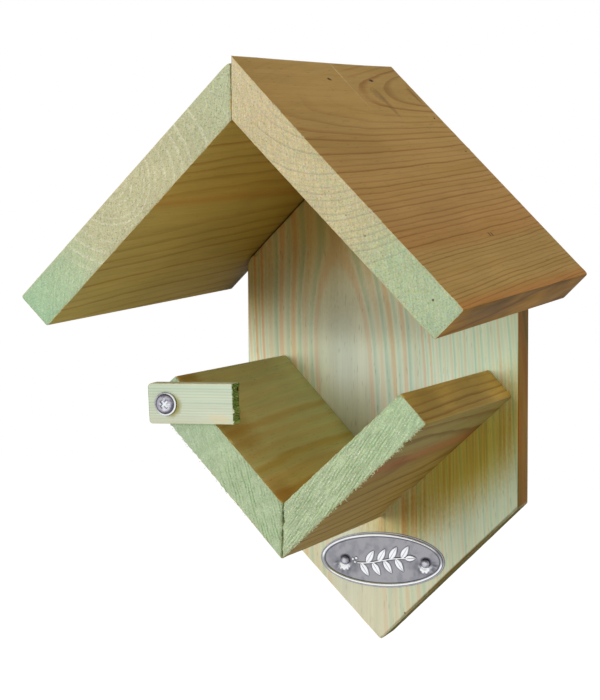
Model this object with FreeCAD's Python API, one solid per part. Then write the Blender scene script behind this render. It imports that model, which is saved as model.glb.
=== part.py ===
"""Wooden feeder for a jar of peanut butter, hung on a wall.

Five boards of planed softwood are sawn, mitred, bradded and screwed together:
a pointed back board, a two-board roof and a two-board V cradle for the jar. A
small wooden button turns on a screw in front of the cradle and keeps the jar
in. An oval metal plate is nailed to the point of the back board.

Millimetres. The origin is the centre of the hanging hole, in the plane of the
wall. +Z is up, the wall is at y = 0 and the jar goes in from -Y.
"""
import FreeCAD, Part
import math
import os

from FreeCAD import Placement, Rotation, Vector

# Driving dimensions

# Boards, as planed and sawn
roof_thickness = 18.0
roof_slope_length = 145.0
roof_depth = 198.0
roof_angle = 45.0
back_thickness = 18.0
back_width = 145.0
back_point_angle = 45.0
cradle_thickness = 18.0
cradle_arm_length = 95.0
cradle_arm_angle = 45.0
arris_radius = 1.2
worn_ridge_radius = 1.0
point_radius = 1.5

# Where the boards stand
ridge_above_hole = 60.0
ridge_to_cradle_vertex = 223.0
cradle_vertex_to_tip = 68.0
cradle_setback = 50.0
cradle_lean = 1.8
cradle_fall = 2.0
hanging_hole_radius = 3.5

# Turn button and its screw
button_length = 42.5
button_height = 18.4
button_thickness = 7.4
button_corner_radius = 1.4
button_sawn_radius = 0.6
button_edge_ease = 0.4
button_tilt = 2.1
pivot_from_button_end = 8.9
pivot_from_arm_end = 8.1
button_side_gap = 0.2
pivot_clearance = 0.08
pivot_shank_radius = 2.4
pivot_grip_in_wood = 25.0
pivot_collar_radius = 5.4
pivot_collar_thickness = 0.9
pivot_head_radius = 4.3
pivot_head_height = 2.3
pivot_recess_width = 1.3
pivot_recess_span = 5.0
pivot_recess_depth = 1.5

# Oval plate and its two nails
plate_length = 67.0
plate_height = 28.6
plate_thickness = 0.8
plate_rim_height = 1.5
plate_rim_width = 2.4
plate_gap_below_cradle = 7.46
plate_offset = 1.0
plate_tilt = 1.8
plate_nail_spacing = 43.5
plate_nail_shift = 1.6
plate_nail_drop = 0.9
dimple_radius = 4.2
dimple_depth = 0.4
nail_shank_radius = 0.9
nail_shank_length = 14.0
nail_head_radius = 2.4
nail_head_height = 1.6

# Flat-wire brads in the roof and the cradle, shot in with their heads along the grain
brad_width = 1.25
brad_wire = 1.1
brad_head_width = 2.1
brad_head_depth = 0.9
brad_length = 30.0
brad_sunk = 0.8
brad_point_length = 2.4
brad_point_width = 0.3
ridge_brad_from_ridge = 11.0
ridge_brad_first = 92.0
ridge_brad_spacing = 56.0
ridge_brad_count = 2
roof_brad_first = 37.0
roof_brad_spacing = 23.0
roof_brad_count = 2
cradle_brad_from_vertex = 11.0
cradle_brad_first = 25.0
cradle_brad_spacing = 55.0
cradle_brad_count = 2

# Countersunk screws through the back board into the cradle arms
cradle_screw_radius = 2.0
cradle_screw_length = 50.0
cradle_screw_head_radius = 4.0
cradle_screw_point_length = 5.0
cradle_screw_recess_width = 1.0
cradle_screw_recess_span = 4.4
cradle_screw_recess_depth = 1.6
cradle_screw_first = 25.0
cradle_screw_spacing = 47.0
cradle_screw_count = 2

# Fastener holes are this much larger than what sits in them
hole_fit = 0.02

# Places worked out from the sizes
ridge_z = ridge_above_hole
roof_inner_ridge_z = ridge_z - roof_thickness / math.cos(math.radians(roof_angle))
tip_z = ridge_z - ridge_to_cradle_vertex - cradle_vertex_to_tip
back_front_y = -back_thickness
roof_front_y = -roof_depth
cradle_front_y = roof_front_y + cradle_setback
cradle_length = back_front_y - cradle_front_y
cradle_drop = cradle_length * math.tan(math.radians(cradle_fall))
half_back = back_width / 2.0


def at(x, z, y=0.0):
    """A point given as across, up and depth."""
    return Vector(x, y, z)


def row(first, spacing, count):
    """The stations of a row of fasteners."""
    return [first + spacing * index for index in range(count)]


def unit(angle):
    """A unit vector in the plane of the wall, angle degrees above +X."""
    return Vector(math.cos(math.radians(angle)), 0.0, math.sin(math.radians(angle)))


def outline(corners, radii):
    """A closed wire through corners, each rounded to its own radius."""
    edges = []
    first = None
    last = None
    count = len(corners)
    for index, corner in enumerate(corners):
        back = (corners[index - 1] - corner).normalize()
        ahead = (corners[(index + 1) % count] - corner).normalize()
        half = back.getAngle(ahead) / 2.0
        radius = radii[index]
        start = corner
        end = corner
        if radius > 0.0:
            start = corner + back * (radius / math.tan(half))
            end = corner + ahead * (radius / math.tan(half))
            bisector = (back + ahead).normalize()
            middle = corner + bisector * (radius / math.sin(half) - radius)
        if last is not None:
            edges.append(Part.LineSegment(last, start).toShape())
        else:
            first = start
        if radius > 0.0:
            edges.append(Part.Arc(start, middle, end).toShape())
        last = end
    edges.append(Part.LineSegment(last, first).toShape())
    return Part.Wire(edges)


def prism(corners, radii, run):
    """A straight prism with the rounded outline, along the vector run."""
    return Part.Face(outline(corners, radii)).extrude(run)


def turned(profile, base, direction):
    """A solid of revolution. profile holds (radius, height) along direction from base."""
    points = [Vector(radius, 0.0, height) for radius, height in profile]
    face = Part.Face(Part.makePolygon(points + [points[0]]))
    solid = face.revolve(Vector(0, 0, 0), Vector(0, 0, 1), 360.0)
    solid.Placement = Placement(base, Rotation(Vector(0, 0, 1), direction))
    return solid


def write(node, solids):
    """Write one piece, or a group of like pieces, as the named node."""
    shape = solids[0] if len(solids) == 1 else Part.makeCompound(solids)
    for solid in shape.Solids:
        if not solid.isValid():
            print("invalid solid in", node)
    shape.exportStep(os.path.join("parts", node + ".step"))


def roof_board(side, ridge_radius):
    """A roof board: grain along Y, mitred at the ridge, square at the eave."""
    down = Vector(side * math.cos(math.radians(roof_angle)), 0.0, -math.sin(math.radians(roof_angle)))
    inward = roof_inward(side)
    ridge = at(0.0, ridge_z, roof_front_y)
    eave = ridge + down * roof_slope_length
    inner_ridge = at(0.0, roof_inner_ridge_z, roof_front_y)
    corners = [ridge, eave, eave + inward * roof_thickness, inner_ridge]
    return prism(corners, [ridge_radius, arris_radius, arris_radius, 0.0], Vector(0, roof_depth, 0))


def roof_inward(side):
    """The direction square into a roof board from its weather face."""
    return Vector(-side * math.sin(math.radians(roof_angle)), 0.0, -math.cos(math.radians(roof_angle)))


def roof_face_point(side, from_ridge, y):
    """A point on a roof board's weather face."""
    across = side * from_ridge * math.cos(math.radians(roof_angle))
    return at(across, ridge_z - from_ridge * math.sin(math.radians(roof_angle)), y)


def back_board():
    """The back board: a plank with eased long edges, sawn to a gable and a point."""
    plank_corners = [
        Vector(-half_back, back_front_y, tip_z),
        Vector(half_back, back_front_y, tip_z),
        Vector(half_back, 0.0, tip_z),
        Vector(-half_back, 0.0, tip_z),
    ]
    plank = prism(plank_corners, [arris_radius] * 4, Vector(0, 0, ridge_z - tip_z))
    shoulder_z = roof_inner_ridge_z - half_back * math.tan(math.radians(roof_angle))
    corner_z = tip_z + half_back * math.tan(math.radians(back_point_angle))
    wide = half_back + arris_radius
    shape_corners = [
        at(0.0, roof_inner_ridge_z, back_front_y),
        at(wide, roof_inner_ridge_z - wide * math.tan(math.radians(roof_angle)), back_front_y),
        at(wide, tip_z + wide * math.tan(math.radians(back_point_angle)), back_front_y),
        at(0.0, tip_z, back_front_y),
        at(-wide, tip_z + wide * math.tan(math.radians(back_point_angle)), back_front_y),
        at(-wide, roof_inner_ridge_z - wide * math.tan(math.radians(roof_angle)), back_front_y),
    ]
    if shoulder_z <= corner_z:
        print("the gable and the point of the back board meet")
    sawn = prism(shape_corners, [0.0, 0.0, 0.0, point_radius, 0.0, 0.0], Vector(0, back_thickness, 0))
    hole = Part.makeCylinder(hanging_hole_radius, back_thickness, Vector(0, 0, 0), Vector(0, -1, 0))
    return plank.common(sawn).cut(hole)


def cradle_vertex(y):
    """The outer bottom line of the cradle, which falls towards the back board."""
    behind_front = y - cradle_front_y
    return at(0.0, ridge_z - ridge_to_cradle_vertex - behind_front * math.tan(math.radians(cradle_fall)), y)


def arm_direction(side):
    """Up along a cradle arm. The whole cradle leans a little to the left."""
    if side < 0:
        return unit(180.0 - cradle_arm_angle - cradle_lean)
    return unit(cradle_arm_angle - cradle_lean)


def arm_inward(side):
    """Square into a cradle arm from its underside."""
    along = arm_direction(side)
    return Vector(side * -along.z, 0.0, abs(along.x))


def arm_centre(side, from_vertex, y):
    """A point midway through a cradle arm's thickness."""
    return cradle_vertex(y) + arm_direction(side) * from_vertex + arm_inward(side) * (cradle_thickness / 2.0)


def cradle_arm(side):
    """A cradle board: mitred at the vertex, eased along its upper edge."""
    vertex = cradle_vertex(cradle_front_y)
    end = vertex + arm_direction(side) * cradle_arm_length
    inner_end = end + arm_inward(side) * cradle_thickness
    mitre = (arm_inward(-1) + arm_inward(1)).normalize()
    reach = cradle_thickness / mitre.dot(arm_inward(side))
    corners = [vertex, end, inner_end, vertex + mitre * reach]
    run = Vector(0.0, cradle_length, -cradle_drop)
    return prism(corners, [0.0, arris_radius, arris_radius, 0.0], run)


def flat_pin(base, direction, top, clearance):
    """A T-shaped pin of flat wire along direction, its head's length along the grain."""
    head = brad_head_width / 2.0 + clearance
    shank = brad_width / 2.0 + clearance
    point = brad_point_width / 2.0 + clearance
    neck = brad_sunk + brad_head_depth + clearance
    end = brad_sunk + brad_length + clearance
    taper = end - brad_point_length
    half = [(head, top), (head, neck), (shank, neck), (shank, taper), (point, end)]
    profile = half + [(-across, depth) for across, depth in reversed(half)]
    thickness = brad_wire + 2.0 * clearance
    points = [Vector(across, -thickness / 2.0, depth) for across, depth in profile]
    solid = Part.Face(Part.makePolygon(points + [points[0]])).extrude(Vector(0, thickness, 0))
    grain = Vector(0, 1, 0)
    solid.Placement = Placement(base, Rotation(grain, direction.cross(grain), direction, "ZXY"))
    return solid


def brad(base, direction):
    """A brad with its head sunk under the surface at base."""
    return flat_pin(base, direction, brad_sunk, 0.0)


def brad_hole(base, direction):
    """The hole that a brad leaves, open at the surface where its head was sunk."""
    return flat_pin(base, direction, -brad_sunk, hole_fit)


def ridge_brad_places():
    """Brads square through the right roof board into the left one's mitre."""
    places = []
    for station in row(ridge_brad_first, ridge_brad_spacing, ridge_brad_count):
        base = roof_face_point(1, ridge_brad_from_ridge, roof_front_y + station)
        places.append((base, roof_inward(1)))
    return places


def roof_brad_places(side):
    """Brads through a roof board into the gable edge, midway in the back board."""
    places = []
    for station in row(roof_brad_first, roof_brad_spacing, roof_brad_count):
        base = roof_face_point(side, station, back_front_y / 2.0)
        places.append((base, roof_inward(side)))
    return places


def cradle_brad_places():
    """Brads square through the left arm's underside into the right arm's mitre."""
    places = []
    for station in row(cradle_brad_first, cradle_brad_spacing, cradle_brad_count):
        vertex = cradle_vertex(cradle_front_y + station)
        base = vertex + arm_direction(-1) * cradle_brad_from_vertex
        places.append((base, arm_inward(-1)))
    return places


def cradle_screw_places(side):
    """Where the screws through the back board enter it, centred in the arm they hold."""
    grip = cradle_screw_length - back_thickness
    places = []
    for station in row(cradle_screw_first, cradle_screw_spacing, cradle_screw_count):
        centre = arm_centre(side, station, back_front_y - grip / 2.0)
        places.append(at(centre.x, centre.z, 0.0))
    return places


def cross_recess(centre, span, width, depth):
    """Two crossed cutters for a screwdriver recess, centred on the crown of a head."""
    slots = []
    for angle in (45.0, 135.0):
        slot = Part.makeBox(span, 2.0 * depth, width, Vector(-span / 2.0, -depth, -width / 2.0))
        slot.Placement = Placement(centre, Rotation(Vector(0, 1, 0), angle)).multiply(slot.Placement)
        slots.append(slot)
    return slots


def cradle_screw(base):
    """A countersunk wood screw, flush with the rear of the back board."""
    cone = cradle_screw_head_radius - cradle_screw_radius
    profile = [
        (0.0, 0.0),
        (cradle_screw_head_radius, 0.0),
        (cradle_screw_radius, cone),
        (cradle_screw_radius, cradle_screw_length - cradle_screw_point_length),
        (0.0, cradle_screw_length),
    ]
    screw = turned(profile, base, Vector(0, -1, 0))
    for slot in cross_recess(
        base, cradle_screw_recess_span, cradle_screw_recess_width, cradle_screw_recess_depth
    ):
        screw = screw.cut(slot)
    return screw


def cradle_screw_hole(base):
    """The countersunk hole for one of those screws, open at the wall side."""
    cone = cradle_screw_head_radius - cradle_screw_radius
    head = cradle_screw_head_radius + hole_fit
    shank = cradle_screw_radius + hole_fit
    profile = [
        (0.0, -cone),
        (head + cone, -cone),
        (shank, head - shank),
        (shank, cradle_screw_length - cradle_screw_point_length),
        (0.0, cradle_screw_length + hole_fit),
    ]
    return turned(profile, base, Vector(0, -1, 0))


def pivot_place():
    """The pivot of the turn button, on the front end of the left arm."""
    return arm_centre(-1, cradle_arm_length - pivot_from_arm_end, cradle_front_y)


def button_placement():
    """Puts a button drawn level about its pivot into its place on the cradle."""
    place = pivot_place()
    place.y = cradle_front_y - button_side_gap
    return Placement(place, Rotation(Vector(0, -1, 0), button_tilt))


def turn_button():
    """The wooden button: a sawn strip with a screw hole near its left end."""
    left = -pivot_from_button_end
    right = left + button_length
    low = -button_height / 2.0
    corners = [at(left, low), at(right, low), at(right, -low), at(left, -low)]
    radii = [button_corner_radius, button_sawn_radius, button_sawn_radius, button_corner_radius]
    button = prism(corners, radii, Vector(0, -button_thickness, 0))
    front = min(button.Faces, key=lambda face: face.CenterOfMass.y)
    eased = min(button_edge_ease, 0.9 * button_sawn_radius, 0.9 * button_corner_radius)
    button = button.makeChamfer(eased, front.Edges)
    hole = Part.makeCylinder(
        pivot_shank_radius + pivot_clearance, button_thickness, Vector(0, 0, 0), Vector(0, -1, 0)
    )
    button = button.cut(hole)
    button.Placement = button_placement()
    return button


def pivot_head_seat_y():
    """The plane where the collar of the pivot screw stands off the button."""
    return cradle_front_y - button_thickness - 2.0 * button_side_gap


def button_screw():
    """The pan-head screw with a collar and a cross recess that the button turns on."""
    base = pivot_place()
    base.y = pivot_head_seat_y()
    shank_end = cradle_front_y - base.y + pivot_grip_in_wood
    shank = [
        (0.0, 0.0),
        (pivot_shank_radius, 0.0),
        (pivot_shank_radius, shank_end - 2.0 * pivot_shank_radius),
        (0.0, shank_end),
    ]
    collar = Part.makeCylinder(
        pivot_collar_radius, pivot_collar_thickness, base, Vector(0, -1, 0)
    )
    dome_rise = pivot_head_height - pivot_collar_thickness
    dome_radius = (pivot_head_radius ** 2 + dome_rise ** 2) / (2.0 * dome_rise)
    ball = Part.makeSphere(dome_radius, base + Vector(0, -(pivot_head_height - dome_radius), 0))
    drum = Part.makeCylinder(
        pivot_head_radius, pivot_head_height, base, Vector(0, -1, 0)
    )
    screw = turned(shank, base, Vector(0, 1, 0)).fuse(collar)
    screw = screw.fuse(ball.common(drum)).removeSplitter()
    crown = base + Vector(0, -pivot_head_height, 0)
    for slot in cross_recess(crown, pivot_recess_span, pivot_recess_width, pivot_recess_depth):
        screw = screw.cut(slot)
    return screw


def pivot_hole():
    """The pilot hole for the pivot screw in the end of the left arm."""
    base = pivot_place()
    radius = pivot_shank_radius + hole_fit
    depth = pivot_grip_in_wood
    profile = [
        (0.0, -button_side_gap),
        (radius, -button_side_gap),
        (radius, depth - 2.0 * pivot_shank_radius),
        (0.0, depth + hole_fit),
    ]
    return turned(profile, base, Vector(0, 1, 0))


def oval(inset, height):
    """The plate's outline drawn in by inset, at a height off the board."""
    curve = Part.Ellipse(Vector(0, 0, 0), plate_length / 2.0 - inset, plate_height / 2.0 - inset)
    wire = Part.Wire(curve.toShape())
    wire.Placement = Placement(Vector(0, -height, 0), Rotation(Vector(1, 0, 0), 90.0))
    return wire


def plate_placement():
    """Puts a plate drawn about its centre onto the back board, just below the cradle."""
    centre = cradle_vertex(back_front_y) + at(plate_offset, -plate_gap_below_cradle - plate_height / 2.0)
    return Placement(centre, Rotation(Vector(0, -1, 0), plate_tilt))


def plate_nail_points():
    """The two nails in the plate's own frame."""
    points = []
    for side in (-1, 1):
        points.append(at(plate_nail_shift + side * plate_nail_spacing / 2.0, -plate_nail_drop))
    return points


def oval_plate():
    """A pressed oval plate with a raised rim and a dimple round each nail."""
    shoulder = plate_rim_height - plate_thickness
    body = Part.makeLoft([oval(0.0, 0.0), oval(0.0, plate_thickness)], True, True)
    crown_sections = [
        oval(0.0, plate_thickness),
        oval(plate_rim_width * 0.12, plate_thickness + shoulder * 0.7),
        oval(plate_rim_width * 0.4, plate_rim_height),
    ]
    crown = Part.makeLoft(crown_sections, True, True)
    field_sections = [
        oval(plate_rim_width * 0.4, plate_rim_height),
        oval(plate_rim_width * 0.75, plate_thickness + shoulder * 0.6),
        oval(plate_rim_width, plate_thickness),
    ]
    field = Part.makeLoft(field_sections, True, True)
    plate = body.fuse(crown.cut(field)).removeSplitter()
    floor = plate_thickness - dimple_depth
    for point in plate_nail_points():
        dimple = [
            (0.0, floor),
            (nail_head_radius, floor),
            (dimple_radius, plate_thickness),
            (dimple_radius, plate_rim_height),
            (0.0, plate_rim_height),
        ]
        plate = plate.cut(turned(dimple, point, Vector(0, -1, 0)))
        shank_hole = Part.makeCylinder(
            nail_shank_radius + hole_fit, plate_rim_height, point, Vector(0, -1, 0)
        )
        plate = plate.cut(shank_hole)
    plate.Placement = plate_placement()
    return plate


def plate_nail(point):
    """A domed nail, its head down in the plate's dimple."""
    seat = point + Vector(0, dimple_depth - plate_thickness, 0)
    shank_end = nail_shank_length
    shank = [
        (0.0, 0.0),
        (nail_shank_radius, 0.0),
        (nail_shank_radius, shank_end - 2.0 * nail_shank_radius),
        (0.0, shank_end),
    ]
    dome = [
        (0.0, 0.0),
        (nail_head_radius, 0.0),
        (nail_head_radius * 0.72, nail_head_height * 0.7),
        (0.0, nail_head_height),
    ]
    nail = turned(shank, seat, Vector(0, 1, 0)).fuse(turned(dome, seat, Vector(0, -1, 0)))
    nail.Placement = plate_placement().multiply(nail.Placement)
    return nail


def plate_nail_hole(point):
    """The hole that a plate nail makes in the back board."""
    radius = nail_shank_radius + hole_fit
    depth = nail_shank_length - (plate_thickness - dimple_depth)
    profile = [
        (0.0, -hole_fit),
        (radius, -hole_fit),
        (radius, depth - 2.0 * nail_shank_radius),
        (0.0, depth + hole_fit),
    ]
    hole = turned(profile, point, Vector(0, 1, 0))
    hole.Placement = plate_placement().multiply(hole.Placement)
    return hole


def drilled(board, holes):
    """A board with its fastener holes cut in it."""
    for hole in holes:
        board = board.cut(hole)
    return board


os.makedirs("parts", exist_ok=True)

ridge_holes = [brad_hole(base, way) for base, way in ridge_brad_places()]
left_roof_holes = [brad_hole(base, way) for base, way in roof_brad_places(-1)]
right_roof_holes = [brad_hole(base, way) for base, way in roof_brad_places(1)]
cradle_brad_holes = [brad_hole(base, way) for base, way in cradle_brad_places()]
left_screw_holes = [cradle_screw_hole(base) for base in cradle_screw_places(-1)]
right_screw_holes = [cradle_screw_hole(base) for base in cradle_screw_places(1)]
plate_holes = [plate_nail_hole(point) for point in plate_nail_points()]

back_holes = left_roof_holes + right_roof_holes + left_screw_holes + right_screw_holes + plate_holes
write("back_board", [drilled(back_board(), back_holes)])
write("roof_board_left", [drilled(roof_board(-1, worn_ridge_radius), ridge_holes + left_roof_holes)])
write("roof_board_right", [drilled(roof_board(1, 0.0), ridge_holes + right_roof_holes)])
left_arm_holes = cradle_brad_holes + left_screw_holes + [pivot_hole()]
write("cradle_board_left", [drilled(cradle_arm(-1), left_arm_holes)])
write("cradle_board_right", [drilled(cradle_arm(1), cradle_brad_holes + right_screw_holes)])

write("turn_button", [turn_button()])
write("button_screw", [button_screw()])
write("oval_plate", [oval_plate()])
write("plate_nails", [plate_nail(point) for point in plate_nail_points()])

write("ridge_brads", [brad(base, way) for base, way in ridge_brad_places()])
write("roof_brads_left", [brad(base, way) for base, way in roof_brad_places(-1)])
write("roof_brads_right", [brad(base, way) for base, way in roof_brad_places(1)])
write("cradle_brads", [brad(base, way) for base, way in cradle_brad_places()])
write("cradle_screws_left", [cradle_screw(base) for base in cradle_screw_places(-1)])
write("cradle_screws_right", [cradle_screw(base) for base in cradle_screw_places(1)])
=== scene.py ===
import math

import bmesh
import bpy
import numpy as np
from mathutils import Matrix, Vector, noise


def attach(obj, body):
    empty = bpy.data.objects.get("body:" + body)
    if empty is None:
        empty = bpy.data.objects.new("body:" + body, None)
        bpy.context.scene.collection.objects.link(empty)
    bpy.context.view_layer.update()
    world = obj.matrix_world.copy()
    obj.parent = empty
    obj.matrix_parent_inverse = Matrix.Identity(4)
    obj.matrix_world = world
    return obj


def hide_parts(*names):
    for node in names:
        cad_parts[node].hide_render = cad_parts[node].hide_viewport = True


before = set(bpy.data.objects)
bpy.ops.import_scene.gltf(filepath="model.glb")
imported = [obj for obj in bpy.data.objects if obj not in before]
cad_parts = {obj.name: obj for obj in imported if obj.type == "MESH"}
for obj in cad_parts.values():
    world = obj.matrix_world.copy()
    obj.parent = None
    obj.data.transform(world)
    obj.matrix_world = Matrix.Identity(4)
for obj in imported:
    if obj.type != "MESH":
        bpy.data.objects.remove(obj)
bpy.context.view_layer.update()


# Back board: one plank of planed, pressure-treated pine with the grain upright.
# It is sawn to a gable under the roof and to a point below; its long edges are
# eased. Everything else is bradded or screwed to it.

MM = 0.001
thickness = 18.0
board_width = 145.0
half_width = board_width / 2.0
ridge_height = 60.0
gable_start = 25.5
ridge_to_tip = 291.0
worn_edge, worn_tip = 3.5, 5.0


def colour(red, green, blue):
    """A colour written as it looks on screen, 0 to 255."""
    parts = []
    for part in (red, green, blue):
        part = part / 255.0
        parts.append(part / 12.92 if part <= 0.04045 else ((part + 0.055) / 1.055) ** 2.4)
    return (parts[0], parts[1], parts[2], 1.0)


def add(tree, kind, values=None, **settings):
    """One node, with each input set to a value or fed from a socket or a node's first output."""
    made = tree.nodes.new(kind)
    for setting, value in settings.items():
        setattr(made, setting, value)
    for socket, value in (values or {}).items():
        if isinstance(value, bpy.types.Node):
            value = value.outputs[0]
        if isinstance(value, bpy.types.NodeSocket):
            tree.links.new(value, made.inputs[socket])
        else:
            made.inputs[socket].default_value = value
    return made


def put(tree, kind, values=None, **settings):
    """A shader node, made in the same way."""
    return add(tree, "ShaderNode" + kind, values, **settings)


def calc(tree, operation, *terms):
    return put(tree, "Math", dict(enumerate(terms)), operation=operation).outputs[0]


def times(tree, *factors):
    product = factors[0]
    for factor in factors[1:]:
        product = calc(tree, "MULTIPLY", product, factor)
    return product


def times_plus(tree, value, by, plus):
    return calc(tree, "MULTIPLY_ADD", value, by, plus)


def vector(tree, operation, *terms):
    made = put(tree, "VectorMath", dict(enumerate(terms)), operation=operation)
    return made.outputs["Value" if operation in ("DOT_PRODUCT", "LENGTH") else "Vector"]


def fade(tree, value, low, high, low_to=0.0, high_to=1.0):
    """A smooth step of value from low to high."""
    taken = {"Value": value, 1: low, 2: high, 3: low_to, 4: high_to}
    return put(tree, "MapRange", taken, interpolation_type="SMOOTHSTEP").outputs["Result"]


def blend_colours(tree, factor, under, over, kind="MIX"):
    """One colour laid over another by a share, or multiplied into it."""
    under, over = (colour(*tone) if isinstance(tone, tuple) else tone for tone in (under, over))
    taken = {0: factor, 6: under, 7: over}
    return put(tree, "Mix", taken, data_type="RGBA", blend_type=kind, clamp_factor=True).outputs[2]


def grey(tree, value):
    return put(tree, "CombineColor", {0: value, 1: value, 2: value}).outputs[0]


def dimmed(tree, surface, *shares):
    """A colour darkened by each share in turn."""
    return blend_colours(tree, 1.0, surface, grey(tree, times(tree, *shares)), "MULTIPLY")


def wash(tree, position, stops):
    """A run of colours along a measure in mm, given as (measure, colour) stops."""
    first, last = stops[0][0], stops[-1][0]
    share = put(tree, "MapRange", {"Value": position, 1: first, 2: last}).outputs["Result"]
    made = put(tree, "ValToRGB", {0: share})
    elements = made.color_ramp.elements
    while len(elements) < len(stops):
        elements.new(0.5)
    for element, (measure, tone) in zip(elements, stops):
        element.position = (measure - first) / (last - first)
        element.color = colour(*tone)
    return made.outputs["Color"]


def clouds(tree, place, scale, detail=2.0, rough=0.5, seed=0.0, output="Fac"):
    """Soft noise over a place in mm, with its scale along each board axis."""
    moved = vector(tree, "MULTIPLY_ADD", place, scale, (seed, seed * 1.7, seed * 2.3))
    made = put(tree, "TexNoise", {"Vector": moved, "Scale": 1.0, "Detail": detail, "Roughness": rough})
    return made.outputs[output]


def node_group(name, kind, takes, gives):
    """A node group with named inputs and outputs, and the sockets inside it that they lead to."""
    tree = bpy.data.node_groups.new(name, kind)
    for label, socket_kind, value in takes:
        socket = tree.interface.new_socket(label, in_out="INPUT", socket_type="NodeSocket" + socket_kind)
        if value is not None:
            socket.default_value = value
    for label, socket_kind in gives:
        tree.interface.new_socket(label, in_out="OUTPUT", socket_type="NodeSocket" + socket_kind)
    return tree, tree.nodes.new("NodeGroupInput").outputs, tree.nodes.new("NodeGroupOutput").inputs


def effect(name, takes, gives):
    """A shared shader effect, from its inputs' usual values and the kinds of its outputs."""
    inputs = [(label, "Float" if isinstance(value, float) else "Vector", value)
              for label, value in takes.items()]
    outputs = [(label, kind) for kind, labels in gives.items() for label in labels]
    return node_group(name, "ShaderNodeTree", inputs, outputs)


def hand_out(tree, given, values):
    """Links what an effect has worked out to its outputs."""
    for label, value in values.items():
        tree.links.new(value, given[label])


def apply(tree, shared, values):
    return put(tree, "Group", values, node_tree=shared).outputs


def blank_material(name):
    material = bpy.data.materials.new(name)
    material.use_nodes = True
    material.node_tree.nodes.clear()
    return material, material.node_tree


def painted(tree, name):
    """A mask painted on the mesh as an attribute."""
    return put(tree, "Attribute", None, attribute_name=name).outputs["Fac"]


def show(tree, shader):
    """Makes a shader the surface that its material shows."""
    tree.links.new(shader.outputs[0], put(tree, "OutputMaterial").inputs[0])


# Where a point lies in its board, in mm: across the grain, through the thickness, along the grain
board_place, taken, given = effect(
    "Board place",
    {"Object": (0, 0, 0), "Origin": (0, 0, 0), "Across": (1, 0, 0), "Through": (0, 1, 0), "Along": (0, 0, 1)},
    {"Vector": ["Place"], "Float": ["Across", "Through", "Along"]})
tree = board_place
from_origin = vector(tree, "SUBTRACT", taken["Object"], taken["Origin"])
in_mm = put(tree, "VectorMath", {0: from_origin, "Scale": 1000.0}, operation="SCALE")
measures = {axis: vector(tree, "DOT_PRODUCT", in_mm, taken[axis]) for axis in ("Across", "Through", "Along")}
joined = put(tree, "CombineXYZ", dict(enumerate(measures.values())))
hand_out(tree, given, dict(measures, Place=joined.outputs[0]))

# Growth rings round a pith line that leans a little against the board and may rise towards
# its face: pale early wood, then dark late wood that ends sharply
growth_rings, taken, given = effect(
    "Growth rings",
    {"Place": (0, 0, 0), "Pith Across": 0.0, "Pith Through": -30.0, "Lean Across": 0.0, "Lean Through": 0.0,
     "Rise": 0.0, "Rise From": 0.0, "Rise To": 1.0, "Ring Width": 4.0, "Outer Ring Width": 3.0,
     "Outer From": 90.0, "Waver": 1.0, "Swell": 0.0, "Late From": 0.55, "Late Full": 0.9, "Late End": 0.93,
     "Seed": 0.0},
    {"Float": ["Late", "Early", "Band", "Tint", "Radius"]})
tree = growth_rings
place = taken["Place"]
parts = put(tree, "SeparateXYZ", {0: place}).outputs
slow = clouds(tree, place, (0.022, 0.022, 0.007), detail=1.0, seed=3.1)
quick = clouds(tree, place, (0.11, 0.11, 0.022), detail=2.0, seed=9.4)
pith_across = times_plus(tree, parts[2], taken["Lean Across"], taken["Pith Across"])
pith_through = times_plus(tree, parts[2], taken["Lean Through"], taken["Pith Through"])
risen = fade(tree, parts[2], taken["Rise From"], taken["Rise To"])
pith_through = times_plus(tree, risen, taken["Rise"], pith_through)
off_across = calc(tree, "SUBTRACT", parts[0], pith_across)
off_through = calc(tree, "SUBTRACT", parts[1], pith_through)
squares = times_plus(tree, off_across, off_across, times(tree, off_through, off_through))
radius = calc(tree, "SQRT", squares)
wander = times_plus(tree, slow, 6.0, times_plus(tree, quick, 2.4, -4.2))
radius = times_plus(tree, wander, taken["Waver"], radius)
radius = calc(tree, "ADD", radius, taken["Swell"])
within = calc(tree, "DIVIDE", calc(tree, "MINIMUM", radius, taken["Outer From"]), taken["Ring Width"])
beyond = calc(tree, "MAXIMUM", calc(tree, "SUBTRACT", radius, taken["Outer From"]), 0.0)
rings = calc(tree, "ADD", within, calc(tree, "DIVIDE", beyond, taken["Outer Ring Width"]))
turn = calc(tree, "FRACT", rings)
late = times(tree, fade(tree, turn, taken["Late From"], taken["Late Full"]),
             fade(tree, turn, taken["Late End"], 1.0, 1.0, 0.0))
early = times(tree, fade(tree, turn, 0.0, 0.12), fade(tree, turn, 0.16, 0.5, 1.0, 0.0))
counted = calc(tree, "ADD", calc(tree, "FLOOR", rings), taken["Seed"])
band = put(tree, "TexNoise", {"W": counted, "Scale": 0.83, "Detail": 0.0}, noise_dimensions="1D")
tint = put(tree, "TexNoise", {"W": calc(tree, "ADD", counted, 71.3), "Scale": 0.61, "Detail": 0.0},
           noise_dimensions="1D")
hand_out(tree, given, {
    "Late": late, "Early": early, "Band": fade(tree, band.outputs["Fac"], 0.3, 0.7),
    "Tint": fade(tree, tint.outputs["Fac"], 0.3, 0.7), "Radius": radius})

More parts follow.
